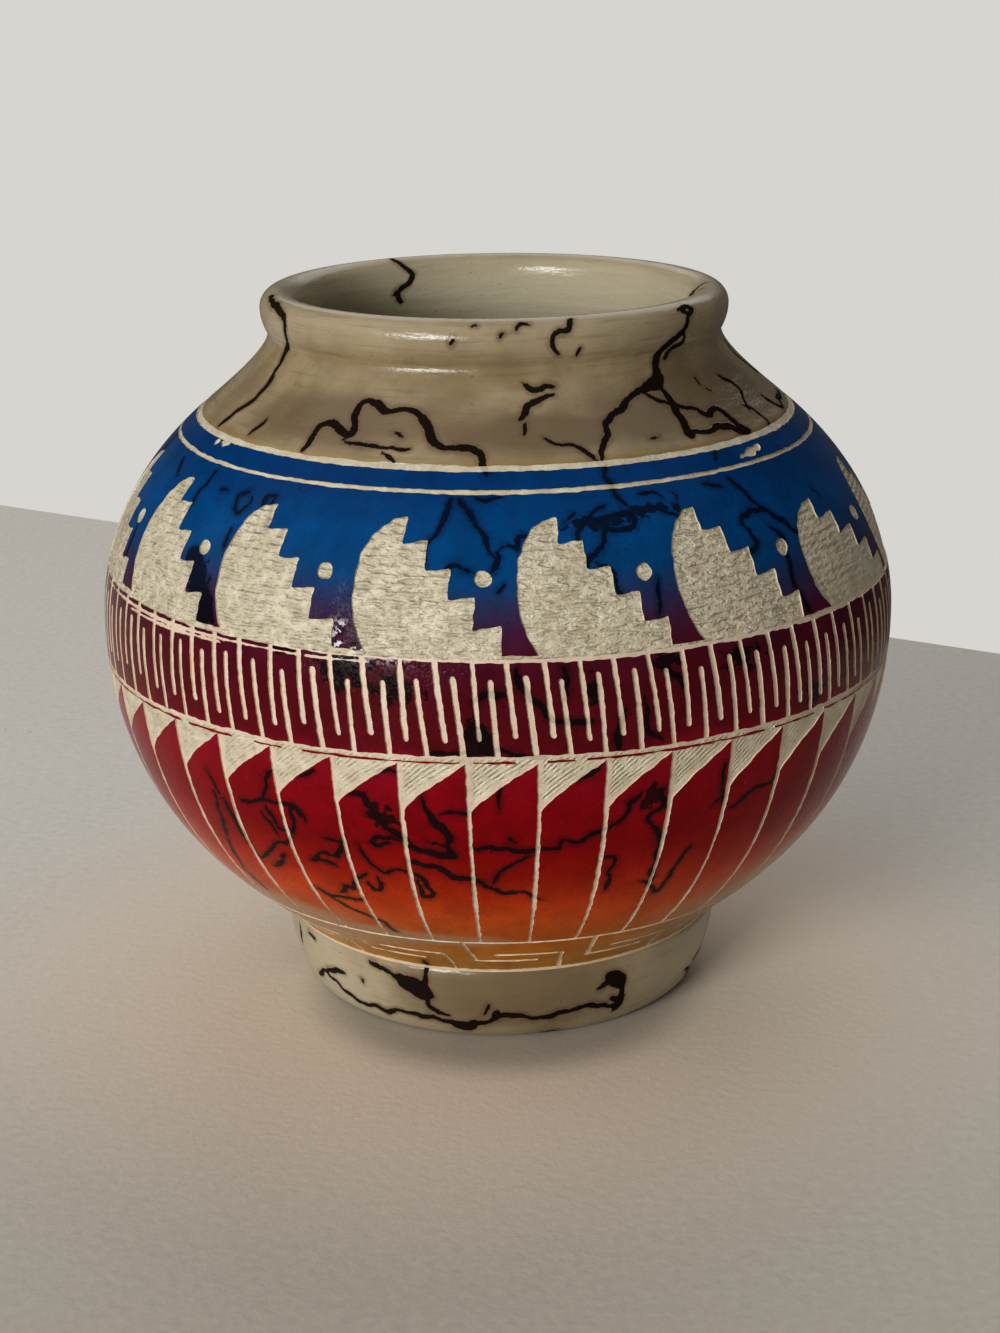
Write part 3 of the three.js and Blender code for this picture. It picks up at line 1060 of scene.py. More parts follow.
@dataclass(frozen=True)
class Blotches:
    """Soft patches on the vase: angle in degrees, height, width and tallness of each."""

    soot: Patches = (
        (-20, 63, 3.2, 2.6), (-13, 61, 2.6, 1.6), (-46, 70, 1.4, 3.4), (-3, 55, 1.3, 2.4),
        (-16, 43.5, 1.6, 1.4), (20, 45, 1, 1.6), (-29, 65.2, 2.6, 1), (9, 76, 2.6, 1.2),
        (22, 63.5, 2.4, 1), (12, 60.5, 1.4, 2), (33, 62, 2.4, 1.4), (47, 55, 2, 1.2),
        (15, 79.8, 3.4, 0.9), (24, 80.6, 3.2, 0.8), (120, 62, 3, 2.4), (170, 74, 2.4, 2.6),
        (210, 42, 2.4, 2), (262, 60, 2.6, 2.2), (95, 38, 1.8, 1.6), (145, 47, 1.4, 2),
        (190, 56, 1.6, 2.4), (240, 76, 2.2, 1.8),
    )
    glint: Patches = (
        (-15.5, 63.4, 5, 2), (-21.5, 69, 0.9, 3.4), (150, 62, 3, 2), (235, 60, 3, 2),
    )
    thin: Patches = (
        (-60, 20, 20, 5), (-28, 20.4, 14, 1.9), (64, 20, 15, 8), (140, 20, 14, 3),
        (215, 19, 16, 4.6),
    )
    pale: Patches = (
        (-55, 5, 13, 9), (62, 5, 13, 9), (180, 5, 12, 8),
    )
    # Smoke clouds, partly painted shade: the clouds at the front of the foot stand for the belly's shade
    # there as well as for smoke.
    smoke: Patches = (
        (0, 7, 13, 5), (-20, 7, 5, 4), (47, 91.5, 5, 5), (-34, 90, 11, 3.6),
        (12, 89.5, 14, 2.8), (30, 90.5, 8, 4.5), (62, 90.5, 9, 4.5), (150, 6, 14, 5),
        (230, 6, 9, 4), (160, 91, 8, 5), (255, 93, 6, 6), (115, 89.5, 14, 3),
        (205, 89.5, 14, 3.2),
    )


@dataclass
class Surface:
    """What every piece of the vase shares: its shape, its profile, its marks and its materials."""

    shape: VaseShape
    profile: Contour
    marks: HairMarks
    paint: Material
    clay: Material
    bare: Material
    blotches: Blotches = Blotches()
    floor_depth: float = 0.2
    wall_depth: float = 0.42
    tuck: float = 0.12
    ring_width: float = 0.6
    wide_ring: float = 0.84
    fan_ring_lean: float = 0.4
    fray_steps: float = 50.0
    fray_grains: Point = (0.7, 9.0)

    def turns(self, columns: int) -> Array:
        """Angles of a closed grid's columns, from the back round the left to the front and on."""
        return np.arange(columns) * TURN / columns - math.pi

    def ring(self, height: float, angle: Array) -> Array:
        """Arc of a level ring at each angle."""
        return np.full(angle.shape, self.profile.arc_at(height))

    def fan_ring(self, angle: Array) -> Array:
        """Arc of the ring that the fans stand on, which leans a little."""
        return self.profile.arc_at(self.shape.fan_line - self.fan_ring_lean * np.sin(angle))

    def path(self, places: list[Triple]) -> Array:
        """Rows of angle in radians, arc and half width from rows of degrees, height and half width."""
        arc_at = self.profile.arc_at
        return np.array([(math.radians(turn), arc_at(height), half) for turn, height, half in places])

    def frayed(self, edge: Array, amount: float, seed: int) -> Array:
        """Curve of arc with the small wander of a line cut by hand: a fine noise and a slow one."""
        width = TURN * self.fray_steps / edge.shape[-1]
        fine, slow = (
            mottle((1, edge.shape[-1]), (1.0, width), grain, seed + number)[0]
            for number, grain in enumerate(self.fray_grains)
        )
        return edge + amount * (fine + slow)

    def thickness(self, angle: Array, arc: Array, patches: Patches) -> Array:
        """How thickly patches lie at each place, for soot, glints, thin paint, pale clay, and smoke with its
        painted shade: a bell curve about the middle of each patch.

        Args:
            angle: angles of the places, in radians.
            arc: their arcs.
            patches: the patches.

        Returns:
            Thickness from 0 to 1.
        """
        thick = np.zeros(angle.shape)
        for turn, height, wide, tall in patches:
            away = ((angle - math.radians(turn) + math.pi) % TURN - math.pi) * self.profile.radius(arc) / wide
            up = (arc - self.profile.arc_at(height)) / tall
            thick = np.maximum(thick, np.exp(-(away**2 + up**2) / 2))
        return thick

    def sheet(self, name: str, places: Array, material: Material, **values: Array) -> None:
        """Piece of the clay body that is one sheet and runs all round.

        Args:
            name: name of the piece.
            places: rows and columns of points, in metres.
            material: its material.
            values: numbers per vertex that the material reads.
        """
        faces = [quads_of(*places.shape[:2], True)]
        piece = new_piece(name, places.reshape(-1, 3), faces, [material], None, values)
        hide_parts("clay_body")

    def skin(self, name: str, grid: Pair, depth: Array | float, material: Material, **values: Array) -> None:
        """Sheet that follows the profile, with its hair marks and its smoke, which is partly painted shade.

        Args:
            name: name of the piece.
            grid: angles and arcs of its grid.
            depth: depth of each vertex under the profile.
            material: its material.
            values: numbers per vertex that the material reads.
        """
        values["hair"] = self.marks.depth(*grid)
        # Smoke, with painted shade at the front of the foot.
        values["smoke"] = self.thickness(*grid, self.blotches.smoke)
        self.sheet(name, self.profile.place(*grid, depth), material, **values)

    def coat(self, name: str, angle: Array, arc: Array, faces: list[Array]) -> Piece:
        """Piece of the coat: painted faces, and clay walls that go down from their rim.

        Args:
            name: name of the piece.
            angle: angles of the vertices.
            arc: their arcs.
            faces: faces of the painted top.

        Returns:
            The piece.
        """
        angle, arc = angle.reshape(-1), arc.reshape(-1)
        rim = rim_of(faces)
        foot = np.unique(rim)
        sunk = np.zeros(len(angle), int)
        sunk[foot] = len(angle) + np.arange(len(foot))
        walls = np.stack([rim[:, 0], sunk[rim[:, 0]], sunk[rim[:, 1]], rim[:, 1]], axis=1)
        depth = np.concatenate([np.zeros(len(angle)), np.full(len(foot), self.wall_depth)])
        angle, arc = np.concatenate([angle, angle[foot]]), np.concatenate([arc, arc[foot]])
        used = np.unique(np.concatenate([part.reshape(-1) for part in [*faces, walls]]))
        renumber = np.zeros(len(angle), int)
        renumber[used] = np.arange(len(used))
        angle, arc, depth = angle[used], arc[used], depth[used]
        finish = np.repeat([0, 1], [sum(len(part) for part in faces), len(walls)])
        values = {
            "hair": self.marks.depth(angle, arc),
            "stroke": arc,
            "rasp": np.zeros(len(arc)),
            "soot": self.thickness(angle, arc, self.blotches.soot),
            "glint": self.thickness(angle, arc, self.blotches.glint),
            "thin": self.thickness(angle, arc, self.blotches.thin),
        }
        places = self.profile.place(angle, arc, depth)
        faces = [renumber[part] for part in [*faces, walls]]
        return new_piece(name, places, faces, [self.paint, self.clay], finish, values)


@dataclass
class BareParts:
    """The clay that carries no colour: foot, underside, neck, lip and inside."""

    surface: Surface
    neck_columns: int = 720
    neck_cell: float = 0.34
    foot_columns: int = 480
    foot_rows: int = 34
    inside_columns: int = 200
    inside_rows: int = 110
    underside_rows: int = 60
    underside_smoke: float = 0.4
    seen_inside: float = 84.0
    edge_waver: float = 0.04
    neck_seed: int = 31
    foot_seed: int = 33
    step_width: float = 0.5
    inner_fade: float = 5.0
    pale_share: float = 0.7

    def build(self) -> None:
        """Builds the bare pieces."""
        self.neck()
        self.foot()
        self.inside()
        self.underside()

    def step(self, distance: Array) -> Array:
        """Depth beside the coat: under the etched floors at its edge, and none past a step that eases out.

        Args:
            distance: lengths from the coat's ring.

        Returns:
            Depth under the profile, by the smoothstep curve.
        """
        rise = np.clip(distance / self.step_width, 0.0, 1.0)
        return (self.surface.floor_depth + self.surface.tuck) * (1 - rise * rise * (3 - 2 * rise))

    def neck(self) -> None:
        """Neck, lip and the part of the inside that the mouth shows."""
        surface = self.surface
        profile = surface.profile
        angle = surface.turns(self.neck_columns)
        ring = surface.ring(surface.shape.collar, angle)
        low = surface.frayed(ring + surface.wide_ring / 2, self.edge_waver, self.neck_seed)
        high = np.full(angle.shape, profile.arc_at(self.seen_inside, True))
        grid = grid_between(low, high, angle, int((high[0] - low[0]) / self.neck_cell))
        depth = self.step(grid[1] - ring - surface.wide_ring / 2)
        # inner rises from the lip's crest into the mouth, where the clay takes the inside's greyer, lighter
        # tone, which is partly painted light.
        inner = np.clip((grid[1] - profile.arc_at(surface.shape.height)) / self.inner_fade, 0.0, 1.0)
        surface.skin("neck_and_lip", grid, depth, surface.bare, inner=inner)

    def foot(self) -> None:
        """Foot, from its edge up to the lowest ring."""
        surface = self.surface
        angle = surface.turns(self.foot_columns)
        ring = surface.ring(surface.shape.foot_height, angle)
        high = surface.frayed(ring - surface.ring_width / 3, self.edge_waver, self.foot_seed)
        grid = grid_between(np.zeros(angle.shape), high, angle, self.foot_rows)
        depth = self.step(ring - surface.ring_width / 2 - grid[1])
        # The foot's pale patches take the same lighter tone as the inside.
        pale = surface.thickness(*grid, surface.blotches.pale) * self.pale_share
        surface.skin("foot", grid, depth, surface.bare, inner=pale)

    def inside(self) -> None:
        """Inside of the bowl, down to the middle of its floor."""
        surface = self.surface
        angle = surface.turns(self.inside_columns)
        start = np.full(angle.shape, surface.profile.arc_at(self.seen_inside, True))
        end = np.full(angle.shape, surface.profile.last)
        grid = grid_between(start, end, angle, self.inside_rows)
        # The whole inside takes the greyer, lighter tone, which is partly painted light.
        surface.skin("inside", grid, 0.0, surface.bare, inner=np.ones(grid[1].shape))

    def underside(self) -> None:
        """Ring that the vase stands on and the shallow hollow within it."""
        surface = self.surface
        under = surface.shape.underside()
        angle = surface.turns(self.foot_columns)
        edge = np.full(angle.shape, under.last)
        grid = grid_between(np.zeros(angle.shape), edge, angle, self.underside_rows)
        hair = np.full(grid[1].shape, -surface.marks.reach)
        smoke = np.full(grid[1].shape, self.underside_smoke)
        surface.sheet("underside", under.place(*grid), surface.bare, hair=hair, smoke=smoke)


@dataclass
class Floors:
    """The etched clay that the cuts lay bare, as one sheet under each stretch of the coat."""

    surface: Surface
    columns: int = 800
    cell: float = 0.42
    overlap: float = 0.35
    seed: int = 40
    grain: float = 1.4
    roughness: float = 0.025
    fan_pitch: float = 1.1
    wedge_pitch: float = 0.74
    wedge_rasp: float = 0.4
    fade: float = 0.3
    ring_margin: float = 0.4
    line_margin: float = 0.35
    edge_margin: float = 0.3

    def build(self) -> None:
        """Builds the floors from the foot up to the collar."""
        shape = self.surface.shape
        low, high = shape.foot_height - self.overlap, shape.collar + 2 * self.overlap
        lines = [low, shape.key_line, shape.meander_line, shape.fan_line, high]
        names = ["key_floor", "feather_floor", "comb_floor", "fan_floor"]
        for index, name in enumerate(names):
            self.floor(name, lines[index], lines[index + 1], self.seed + index)

    def floor(self, name: str, low: float, high: float, seed: int) -> None:
        """One floor between two heights.

        Args:
            name: name of the piece.
            low: height of its lower edge.
            high: height of its upper edge.
            seed: seed of its unevenness.
        """
        surface = self.surface
        angle = surface.turns(self.columns)
        start, end = surface.ring(low, angle), surface.ring(high, angle)
        grid = grid_between(start, end, angle, int((end[0] - start[0]) / self.cell) + 2)
        uneven = mottle(grid[1].shape, (self.cell, self.cell), self.grain, seed) * self.roughness
        uneven[[0, -1]] = 0.0
        stroke, rasp = self.strokes(name, *grid)
        surface.skin(name, grid, surface.floor_depth + uneven, surface.clay, stroke=stroke, rasp=rasp)

    def strokes(self, name: str, angle: Array, arc: Array) -> Pair:
        """Strokes of the tool: level ones under the fans, and slanting ones above the feathers.

        Args:
            name: name of the floor.
            angle: angles of its grid.
            arc: its arcs.

        Returns:
            Number of strokes below each place, and how deep they are, from 0 to 1.
        """
        surface = self.surface
        if name == "fan_floor":
            below = surface.profile.arc_at(surface.shape.border) - arc
            return arc / self.fan_pitch, self.faded(below - self.ring_margin)
        if name != "feather_floor":
            return arc, np.zeros(arc.shape)
        pitch = TURN / Feathers.count
        across = (angle - math.radians(Feathers.first)) / pitch % 1.0
        above = arc - Feathers.slant(surface, across)
        aside = np.minimum(across, 1 - across) * pitch * surface.profile.radius(arc)
        rasp = self.faded(aside - self.line_margin) * self.faded(above - self.edge_margin) * self.wedge_rasp
        ring = surface.profile.arc_at(surface.shape.meander_line)
        return above / self.wedge_pitch, rasp * (arc < ring - self.edge_margin)

    def faded(self, distance: Array) -> Array:
        """Share of the strokes' depth, which rises from an edge to 1 over the fade's length."""
        return np.clip(distance / self.fade, 0.0, 1.0)


@dataclass
class Band(ABC):
    """Stretch of the coat that runs all round between two rings, with cuts in it."""

    surface: Surface
    name: str
    seed: int
    columns: int
    rows: int
    waver: Point = (0.05, 0.05)
    cell: Point = (0.25, 0.25)
    beads: Beads = ()

    def build(self) -> None:
        """Builds the band: a grid between its edges, less its cuts, whose edges are uneven by the beads."""
        surface = self.surface
        angle = surface.turns(self.columns)
        low, high = (
            surface.frayed(edge, waver, self.seed + 2 * number)
            for number, (edge, waver) in enumerate(zip(self.edges(angle), self.waver))
        )
        grid = grid_between(low, high, angle, self.rows)
        cuts = self.cuts(*grid, surface.profile.radius(grid[1]))
        uneven = sum(mottle(cuts.shape, self.cell, size, seed) * amount for size, amount, seed in self.beads)
        self.claim(surface.coat(self.name, *cut_out(*grid, cuts + uneven)))

    @abstractmethod
    def claim(self, piece: Piece) -> None:
        """Hides the part's node that the piece replaces."""

    @abstractmethod
    def edges(self, angle: Array) -> Pair:
        """Arcs of the band's lower and upper edge at each angle."""

    @abstractmethod
    def cuts(self, angle: Array, arc: Array, radius: Array) -> Array:
        """How deep each place lies in a cut.

        Args:
            angle: angles of the places, in radians.
            arc: their arcs.
            radius: their radii.

        Returns:
            Millimetres, negative in the coat.
        """


@dataclass
class FanField(Band):
    """Blue shoulder with stepped fans and dots cut out of it."""

    name: str = "fan_field"
    seed: int = 51
    columns: int = 1248
    rows: int = 74
    waver: Point = (0.05, 0.035)
    cell: Point = (0.28, 0.28)
    beads: Beads = ((0.8, 0.07, 58),)
    count: int = 16
    first: float = 5.6
    height: float = 15.6
    width: float = 16.8
    tip: float = 3.2
    bulge: float = 4.9
    bulge_top: float = 0.7
    back_steps: int = 9
    steps: int = 5
    tread_rise: float = 0.35
    riser_lean: float = 0.1
    tip_undercut: float = 0.2
    sole: float = -1.2
    dot_radius: float = 1.12
    dot_offset: float = 7.4
    dot_rise: float = 9.3
    overcut: float = 0.12
    height_spread: float = 0.025
    height_seed: int = 57
    # Number of each odd fan, its turn in degrees, and its shares of the usual width and height
    odd_fans: tuple[tuple[int, float, float, float], ...] = ((2, 1.9, 1.22, 0.82), (3, 3.5, 1.0, 0.95))

    def edges(self, angle: Array) -> Pair:
        """Arcs of the band's lower and upper edge at each angle."""
        surface = self.surface
        half = surface.ring_width / 2
        low = surface.fan_ring(angle) + surface.wide_ring - half
        return low, surface.ring(surface.shape.border, angle) - half

    def claim(self, piece: Piece) -> None:
        """Takes the band's place in the part."""
        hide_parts("fan_field_paint")

    def outline(self) -> Array:
        """Outline of a fan, as lengths to the right of its base corner and above its ring."""
        back = bezier([
            (0.0, 0.0),
            (-self.bulge, self.height / 3),
            (-self.bulge * self.bulge_top, self.height),
            (self.tip, self.height),
        ], self.back_steps)
        tread = (self.width - self.tip) / (self.steps - 1)
        riser = self.height / self.steps
        corners = [(self.tip - self.tip_undercut, self.height - riser)]
        for step in range(1, self.steps):
            right = self.tip + tread * step
            top = self.height - riser * step
            corners += [(right, top + self.tread_rise), (right - self.riser_lean, top - riser)]
        corners[-1] = (self.width, self.sole)
        return np.concatenate([[(0.0, self.sole)], [(0.0, 0.0)], back, corners])

    def cuts(self, angle: Array, arc: Array, radius: Array) -> Array:
        """How deep each place lies in the nearest fans or dots.

        Args:
            angle: angles of the places, in radians.
            arc: their arcs.
            radius: their radii.

        Returns:
            Millimetres, negative in the coat.
        """
        profile = self.surface.profile
        line = self.surface.shape.fan_line
        base = profile.arc_at(line)
        base_radius = profile.radius(base)
        tall = profile.arc_at(line + self.height) - base
        outline = self.outline() * [1 / base_radius, tall / self.height]
        dot_arc = profile.arc_at(line + self.dot_rise) - base
        dot_turn = self.dot_offset / base_radius
        pitch = TURN / self.count
        turn, wide, high = self.fan_sizes()
        index = np.floor((angle - math.radians(self.first)) / pitch + 0.5).astype(int)
        local = angle - math.radians(self.first) - index * pitch
        rise = arc - self.surface.fan_ring(angle)
        depth = np.full(angle.shape, -np.inf)
        for step in (-1, 0, 1):
            fan = (index + step) % self.count
            across = local - step * pitch - turn[fan]
            within = depth_in_outline(across / wide[fan], rise / high[fan], radius, outline)
            dot = self.dot_radius - np.hypot((across + dot_turn) * radius, rise - dot_arc)
            depth = np.maximum(depth, np.maximum(within + self.overcut, dot))
        return depth

    def fan_sizes(self) -> tuple[Array, Array, Array]:
        """Turn of each fan in radians and its shares of the usual width and height, which vary a little."""
        rng = np.random.default_rng(self.height_seed)
        turn, wide = np.zeros(self.count), np.ones(self.count)
        high = 1 + rng.uniform(-self.height_spread, self.height_spread, self.count)
        for number, degrees, wide_share, high_share in self.odd_fans:
            turn[number] = math.radians(degrees)
            wide[number] = wide_share
            high[number] *= high_share
        return turn, wide, high


@dataclass
class ShoulderBorder(Band):
    """Narrow blue band between the two upper rings, with a few chips."""

    name: str = "shoulder_border"
    seed: int = 61
    columns: int = 1248
    rows: int = 11
    waver: Point = (0.035, 0.035)
    beads: Beads = ((0.8, 0.12, 65),)
    # Path of each chip, by angle, height and half width
    chips: tuple[tuple[Triple, ...], ...] = (
        ((47.0, 84.3, 0.35), (50.0, 84.5, 0.6), (53.5, 84.9, 0.4)),
        ((-61.0, 85.3, 0.4), (-57.0, 85.5, 0.3)),
        ((140.0, 84.9, 0.2), (143.0, 84.6, 0.4)),
    )

    def edges(self, angle: Array) -> Pair:
        """Arcs of the band's lower and upper edge at each angle."""
        surface = self.surface
        low = surface.ring(surface.shape.border, angle) + surface.ring_width / 2
        return low, surface.ring(surface.shape.collar, angle) - surface.wide_ring / 2

    def claim(self, piece: Piece) -> None:
        """Takes the band's place in the part."""
        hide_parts("shoulder_border_paint")

    def cuts(self, angle: Array, arc: Array, radius: Array) -> Array:
        """How deep each place lies in a chip, in millimetres."""
        paths = [self.surface.path(chip) for chip in self.chips]
        return np.max([depth_in_path(angle, arc, radius, path) for path in paths], axis=0)


@dataclass
class CombMeander(Band):
    """Maroon band with lines that hang from its upper ring and stand on its lower one in turn."""

    name: str = "comb_meander"
    seed: int = 71
    columns: int = 1560
    rows: int = 46
    waver: Point = (0.06, 0.06)
    cell: Point = (0.27, 0.23)
    beads: Beads = ((0.5, 0.03, 78), (2.5, 0.012, 79))
    count: int = 78
    first: float = 1.55
    spacing: float = 0.53
    length: float = 10.1
    lean: float = 1.1
    width: float = 0.7
    width_spread: Point = (-0.14, 0.18)
    length_spread: Point = (-0.7, 0.5)
    lean_spread: Point = (-0.3, 0.3)
    place_spread: Point = (-0.2, 0.2)
    line_seed: int = 77
    # First and last angle of each stray stroke, how far it lies under the ring, and its half width
    extra_strokes: tuple[tuple[float, float, float, float], ...] = (
        (-75.0, -29.0, 0.95, 0.28), (-62.0, -38.0, 1.6, 0.24), (-35.0, -14.0, 0.9, 0.2),
    )
    stroke_start: float = 0.5
    stroke_end: float = 0.3
    stroke_climb: float = 0.8

    def edges(self, angle: Array) -> Pair:
        """Arcs of the band's lower and upper edge at each angle."""
        surface = self.surface
        half = surface.ring_width / 2
        return surface.ring(surface.shape.meander_line, angle) + half, surface.fan_ring(angle) - half

    def claim(self, piece: Piece) -> None:
        """Takes the band's place in the part."""
        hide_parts("meander_band_paint")

    def cuts(self, angle: Array, arc: Array, radius: Array) -> Array:
        """How deep each place lies in a line, or in one of the stray strokes above the lines.

        Args:
            angle: angles of the places, in radians.
            arc: their arcs.
            radius: their radii.

        Returns:
            Millimetres, negative in the coat.
        """
        rng = np.random.default_rng(self.line_seed)
        low = self.surface.profile.arc_at(self.surface.shape.meander_line)
        ring = self.surface.fan_ring(angle)
        turn = math.radians(self.first)
        depth = self.comb(angle - turn, ring - arc, radius, 1.0, rng)
        standing = angle - (turn + TURN / self.count * self.spacing)
        depth = np.maximum(depth, self.comb(standing, arc - low, radius, -1.0, rng))
        for start, end, under, half in self.extra_strokes:
            left, middle, right = (math.radians(degrees) for degrees in (start, (start + end) / 2, end))
            path = np.array([
                (left, -under, half * self.stroke_start),
                (middle, -under, half),
                (right, -under * self.stroke_climb, half * self.stroke_end),
            ])
            depth = np.maximum(depth, depth_in_path(angle, arc - ring, radius, path))
        return depth

    def comb(self, angle: Array, along: Array, radius: Array, way: float, rng: Rng) -> Array:
        """How deep each place lies in one of the lines that start at the same ring.

        Args:
            angle: angles from the first line, in radians.
            along: lengths from the ring in the direction of the lines.
            radius: radii of the places.
            way: 1 for lines that hang and -1 for lines that stand, which lean the same way.
            rng: source of the lines' unevenness.

        Returns:
            The depths in millimetres, negative outside the lines.
        """
        pitch = TURN / self.count
        index = np.floor(angle / pitch + 0.5).astype(int)
        local = angle - index * pitch
        index %= self.count
        half = self.width / 2 * (1 + rng.uniform(*self.width_spread, self.count)[index])
        reach = self.length + rng.uniform(*self.length_spread, self.count)[index]
        lean = self.lean / self.length * (1 + rng.uniform(*self.lean_spread, self.count)[index])
        stray = rng.uniform(*self.place_spread, self.count)[index]
        across = local * radius - stray - way * lean * (along - self.length / 2)
        return half - np.hypot(across, np.maximum(along - reach, 0.0))


@dataclass
class Feathers:
    """Forty red feathers, each cut away at its upper left corner along an arched edge."""

    surface: Surface
    count: int = 40
    first: float = 5.0
    wedge: float = 6.8
    wedge_arch: float = 0.8
    corner_gap: float = 0.85
    line: float = 0.62
    line_foot: float = 0.82
    line_growth: float = 0.3
    columns: int = 32
    rows: int = 120
    waver_steps: int = 480
    waver_cell: Point = (1.0, 0.29)
    fine_waver: Point = (0.6, 0.04)
    slow_waver: Point = (9.0, 0.05)
    fine_seed: int = 200
    slow_seed: int = 300
    top_waver: float = 1.5

    def build(self) -> None:
        """Builds the feathers one by one."""
        for index in range(self.count):
            self.feather(index)

    def feather(self, index: int) -> None:
        """Builds one feather, whose edges run beside the etched lines and waver a little.

        Args:
            index: its number, counted to the right from the front.
        """
        surface = self.surface
        turn = math.radians(self.first) + index * TURN / self.count
        across = np.linspace(0.0, 1.0, self.columns)[None, :]
        up = np.linspace(0.0, 1.0, self.rows)[:, None]
        low = surface.profile.arc_at(surface.shape.key_line) + surface.ring_width / 2
        fine = self.wavers(*self.fine_waver, self.fine_seed + index)
        slow = self.wavers(*self.slow_waver, self.slow_seed + index)
        left_edge, right_edge = (fine + slow)[:2, : self.rows, None]
        top = self.slant(surface, across) + (fine[2] * self.top_waver)[: self.columns]
        arc = low + (top - low) * up
        radius = surface.profile.radius(arc)
        gap = self.line / 2 * (self.line_foot + self.line_growth * up)
        left = turn + (gap + left_edge) / radius
        right = turn + TURN / self.count - (gap + right_edge) / radius
        angle = left + (right - left) * across
        piece = surface.coat(f"feather_{index + 1:02d}", angle, arc, [quads_of(*arc.shape, False)])
        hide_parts(f"feather_paint_{index + 1:02d}")

    def wavers(self, grain: float, amount: float, seed: int) -> Array:
        """Rows of small unevenness for the left, the right and the top edge."""
        return mottle((3, self.waver_steps), self.waver_cell, grain, seed) * amount

    @classmethod
    def slant(cls, surface: Surface, across: Array) -> Array:
        """Arc of a feather's slanting top edge at each share of its width, by a power curve."""
        corner = surface.profile.arc_at(surface.shape.meander_line - cls.corner_gap)
        return corner - cls.wedge * (1 - across**cls.wedge_arch)


@dataclass
class FeatherEdge(Band):
    """Thin, worn red stripe left between the ring under the combs and the feathers' cut corners."""

    name: str = "feather_edge"
    seed: int = 91
    columns: int = 1040
    rows: int = 3
    cell: Point = (0.1, 0.34)
    beads: Beads = ((2.4, 1.0, 95),)
    low_gap: float = 0.7
    high_gap: float = 0.44
    wear: float = -1.1

    def edges(self, angle: Array) -> Pair:
        """Arcs of the stripe's lower and upper edge at each angle."""
        line = self.surface.shape.meander_line
        return self.surface.ring(line - self.low_gap, angle), self.surface.ring(line - self.high_gap, angle)

    def claim(self, piece: Piece) -> None:
        """Replaces no node of the part, so hides none."""

    def cuts(self, angle: Array, arc: Array, radius: Array) -> Array:
        """Depth that the beads have to exceed before the stripe is worn away."""
        return np.full(angle.shape, self.wear)


@dataclass
class KeyBand(Band):
    """Ochre band over the foot with interlocked keys cut into it."""

    name: str = "key_band"
    seed: int = 81
    columns: int = 1008
    rows: int = 44
    beads: Beads = ((0.6, 0.05, 88), (3.0, 0.06, 89))
    count: int = 14
    first: float = -7.7
    line: float = 0.6
    hanging_turns: Triple = (0.0, 1.7, 15.4)
    hanging_run: float = 2.6
    standing_turns: Triple = (21.8, 20.5, 6.3)
    standing_run: float = 4.4
    standing_rise: float = 0.1

    def edges(self, angle: Array) -> Pair:
        """Arcs of the band's lower and upper edge at each angle."""
        surface = self.surface
        half = surface.ring_width / 2
        low = surface.ring(surface.shape.foot_height, angle) + half
        return low, surface.ring(surface.shape.key_line, angle) - half

    def claim(self, piece: Piece) -> None:
        """Takes the band's place in the part."""
        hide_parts("key_band_paint")

    def keys(self) -> list[Array]:
        """Path of a line that hangs from the upper ring, and of one that stands on the lower ring."""
        foot, line = self.surface.shape.foot_height, self.surface.shape.key_line
        hanging, standing = foot + self.hanging_run, foot + self.standing_run
        turns = (self.hanging_turns, self.standing_turns)
        heights = ((line, hanging, hanging), (foot, standing, standing + self.standing_rise))
        halves = [self.line / 2] * 3
        return [self.surface.path(list(zip(*key, halves))) for key in zip(turns, heights)]

    def cuts(self, angle: Array, arc: Array, radius: Array) -> Array:
        """How deep each place lies in a key's line, in millimetres."""
        pitch = TURN / self.count
        local = (angle - math.radians(self.first) + pitch / 2) % pitch - pitch / 2
        return np.max([
            depth_in_path(local + shift, arc, radius, key)
            for key in self.keys()
            for shift in (-pitch, 0.0, pitch)
        ], axis=0)


# The hairs that the front shows, and strewn ones for the other sides


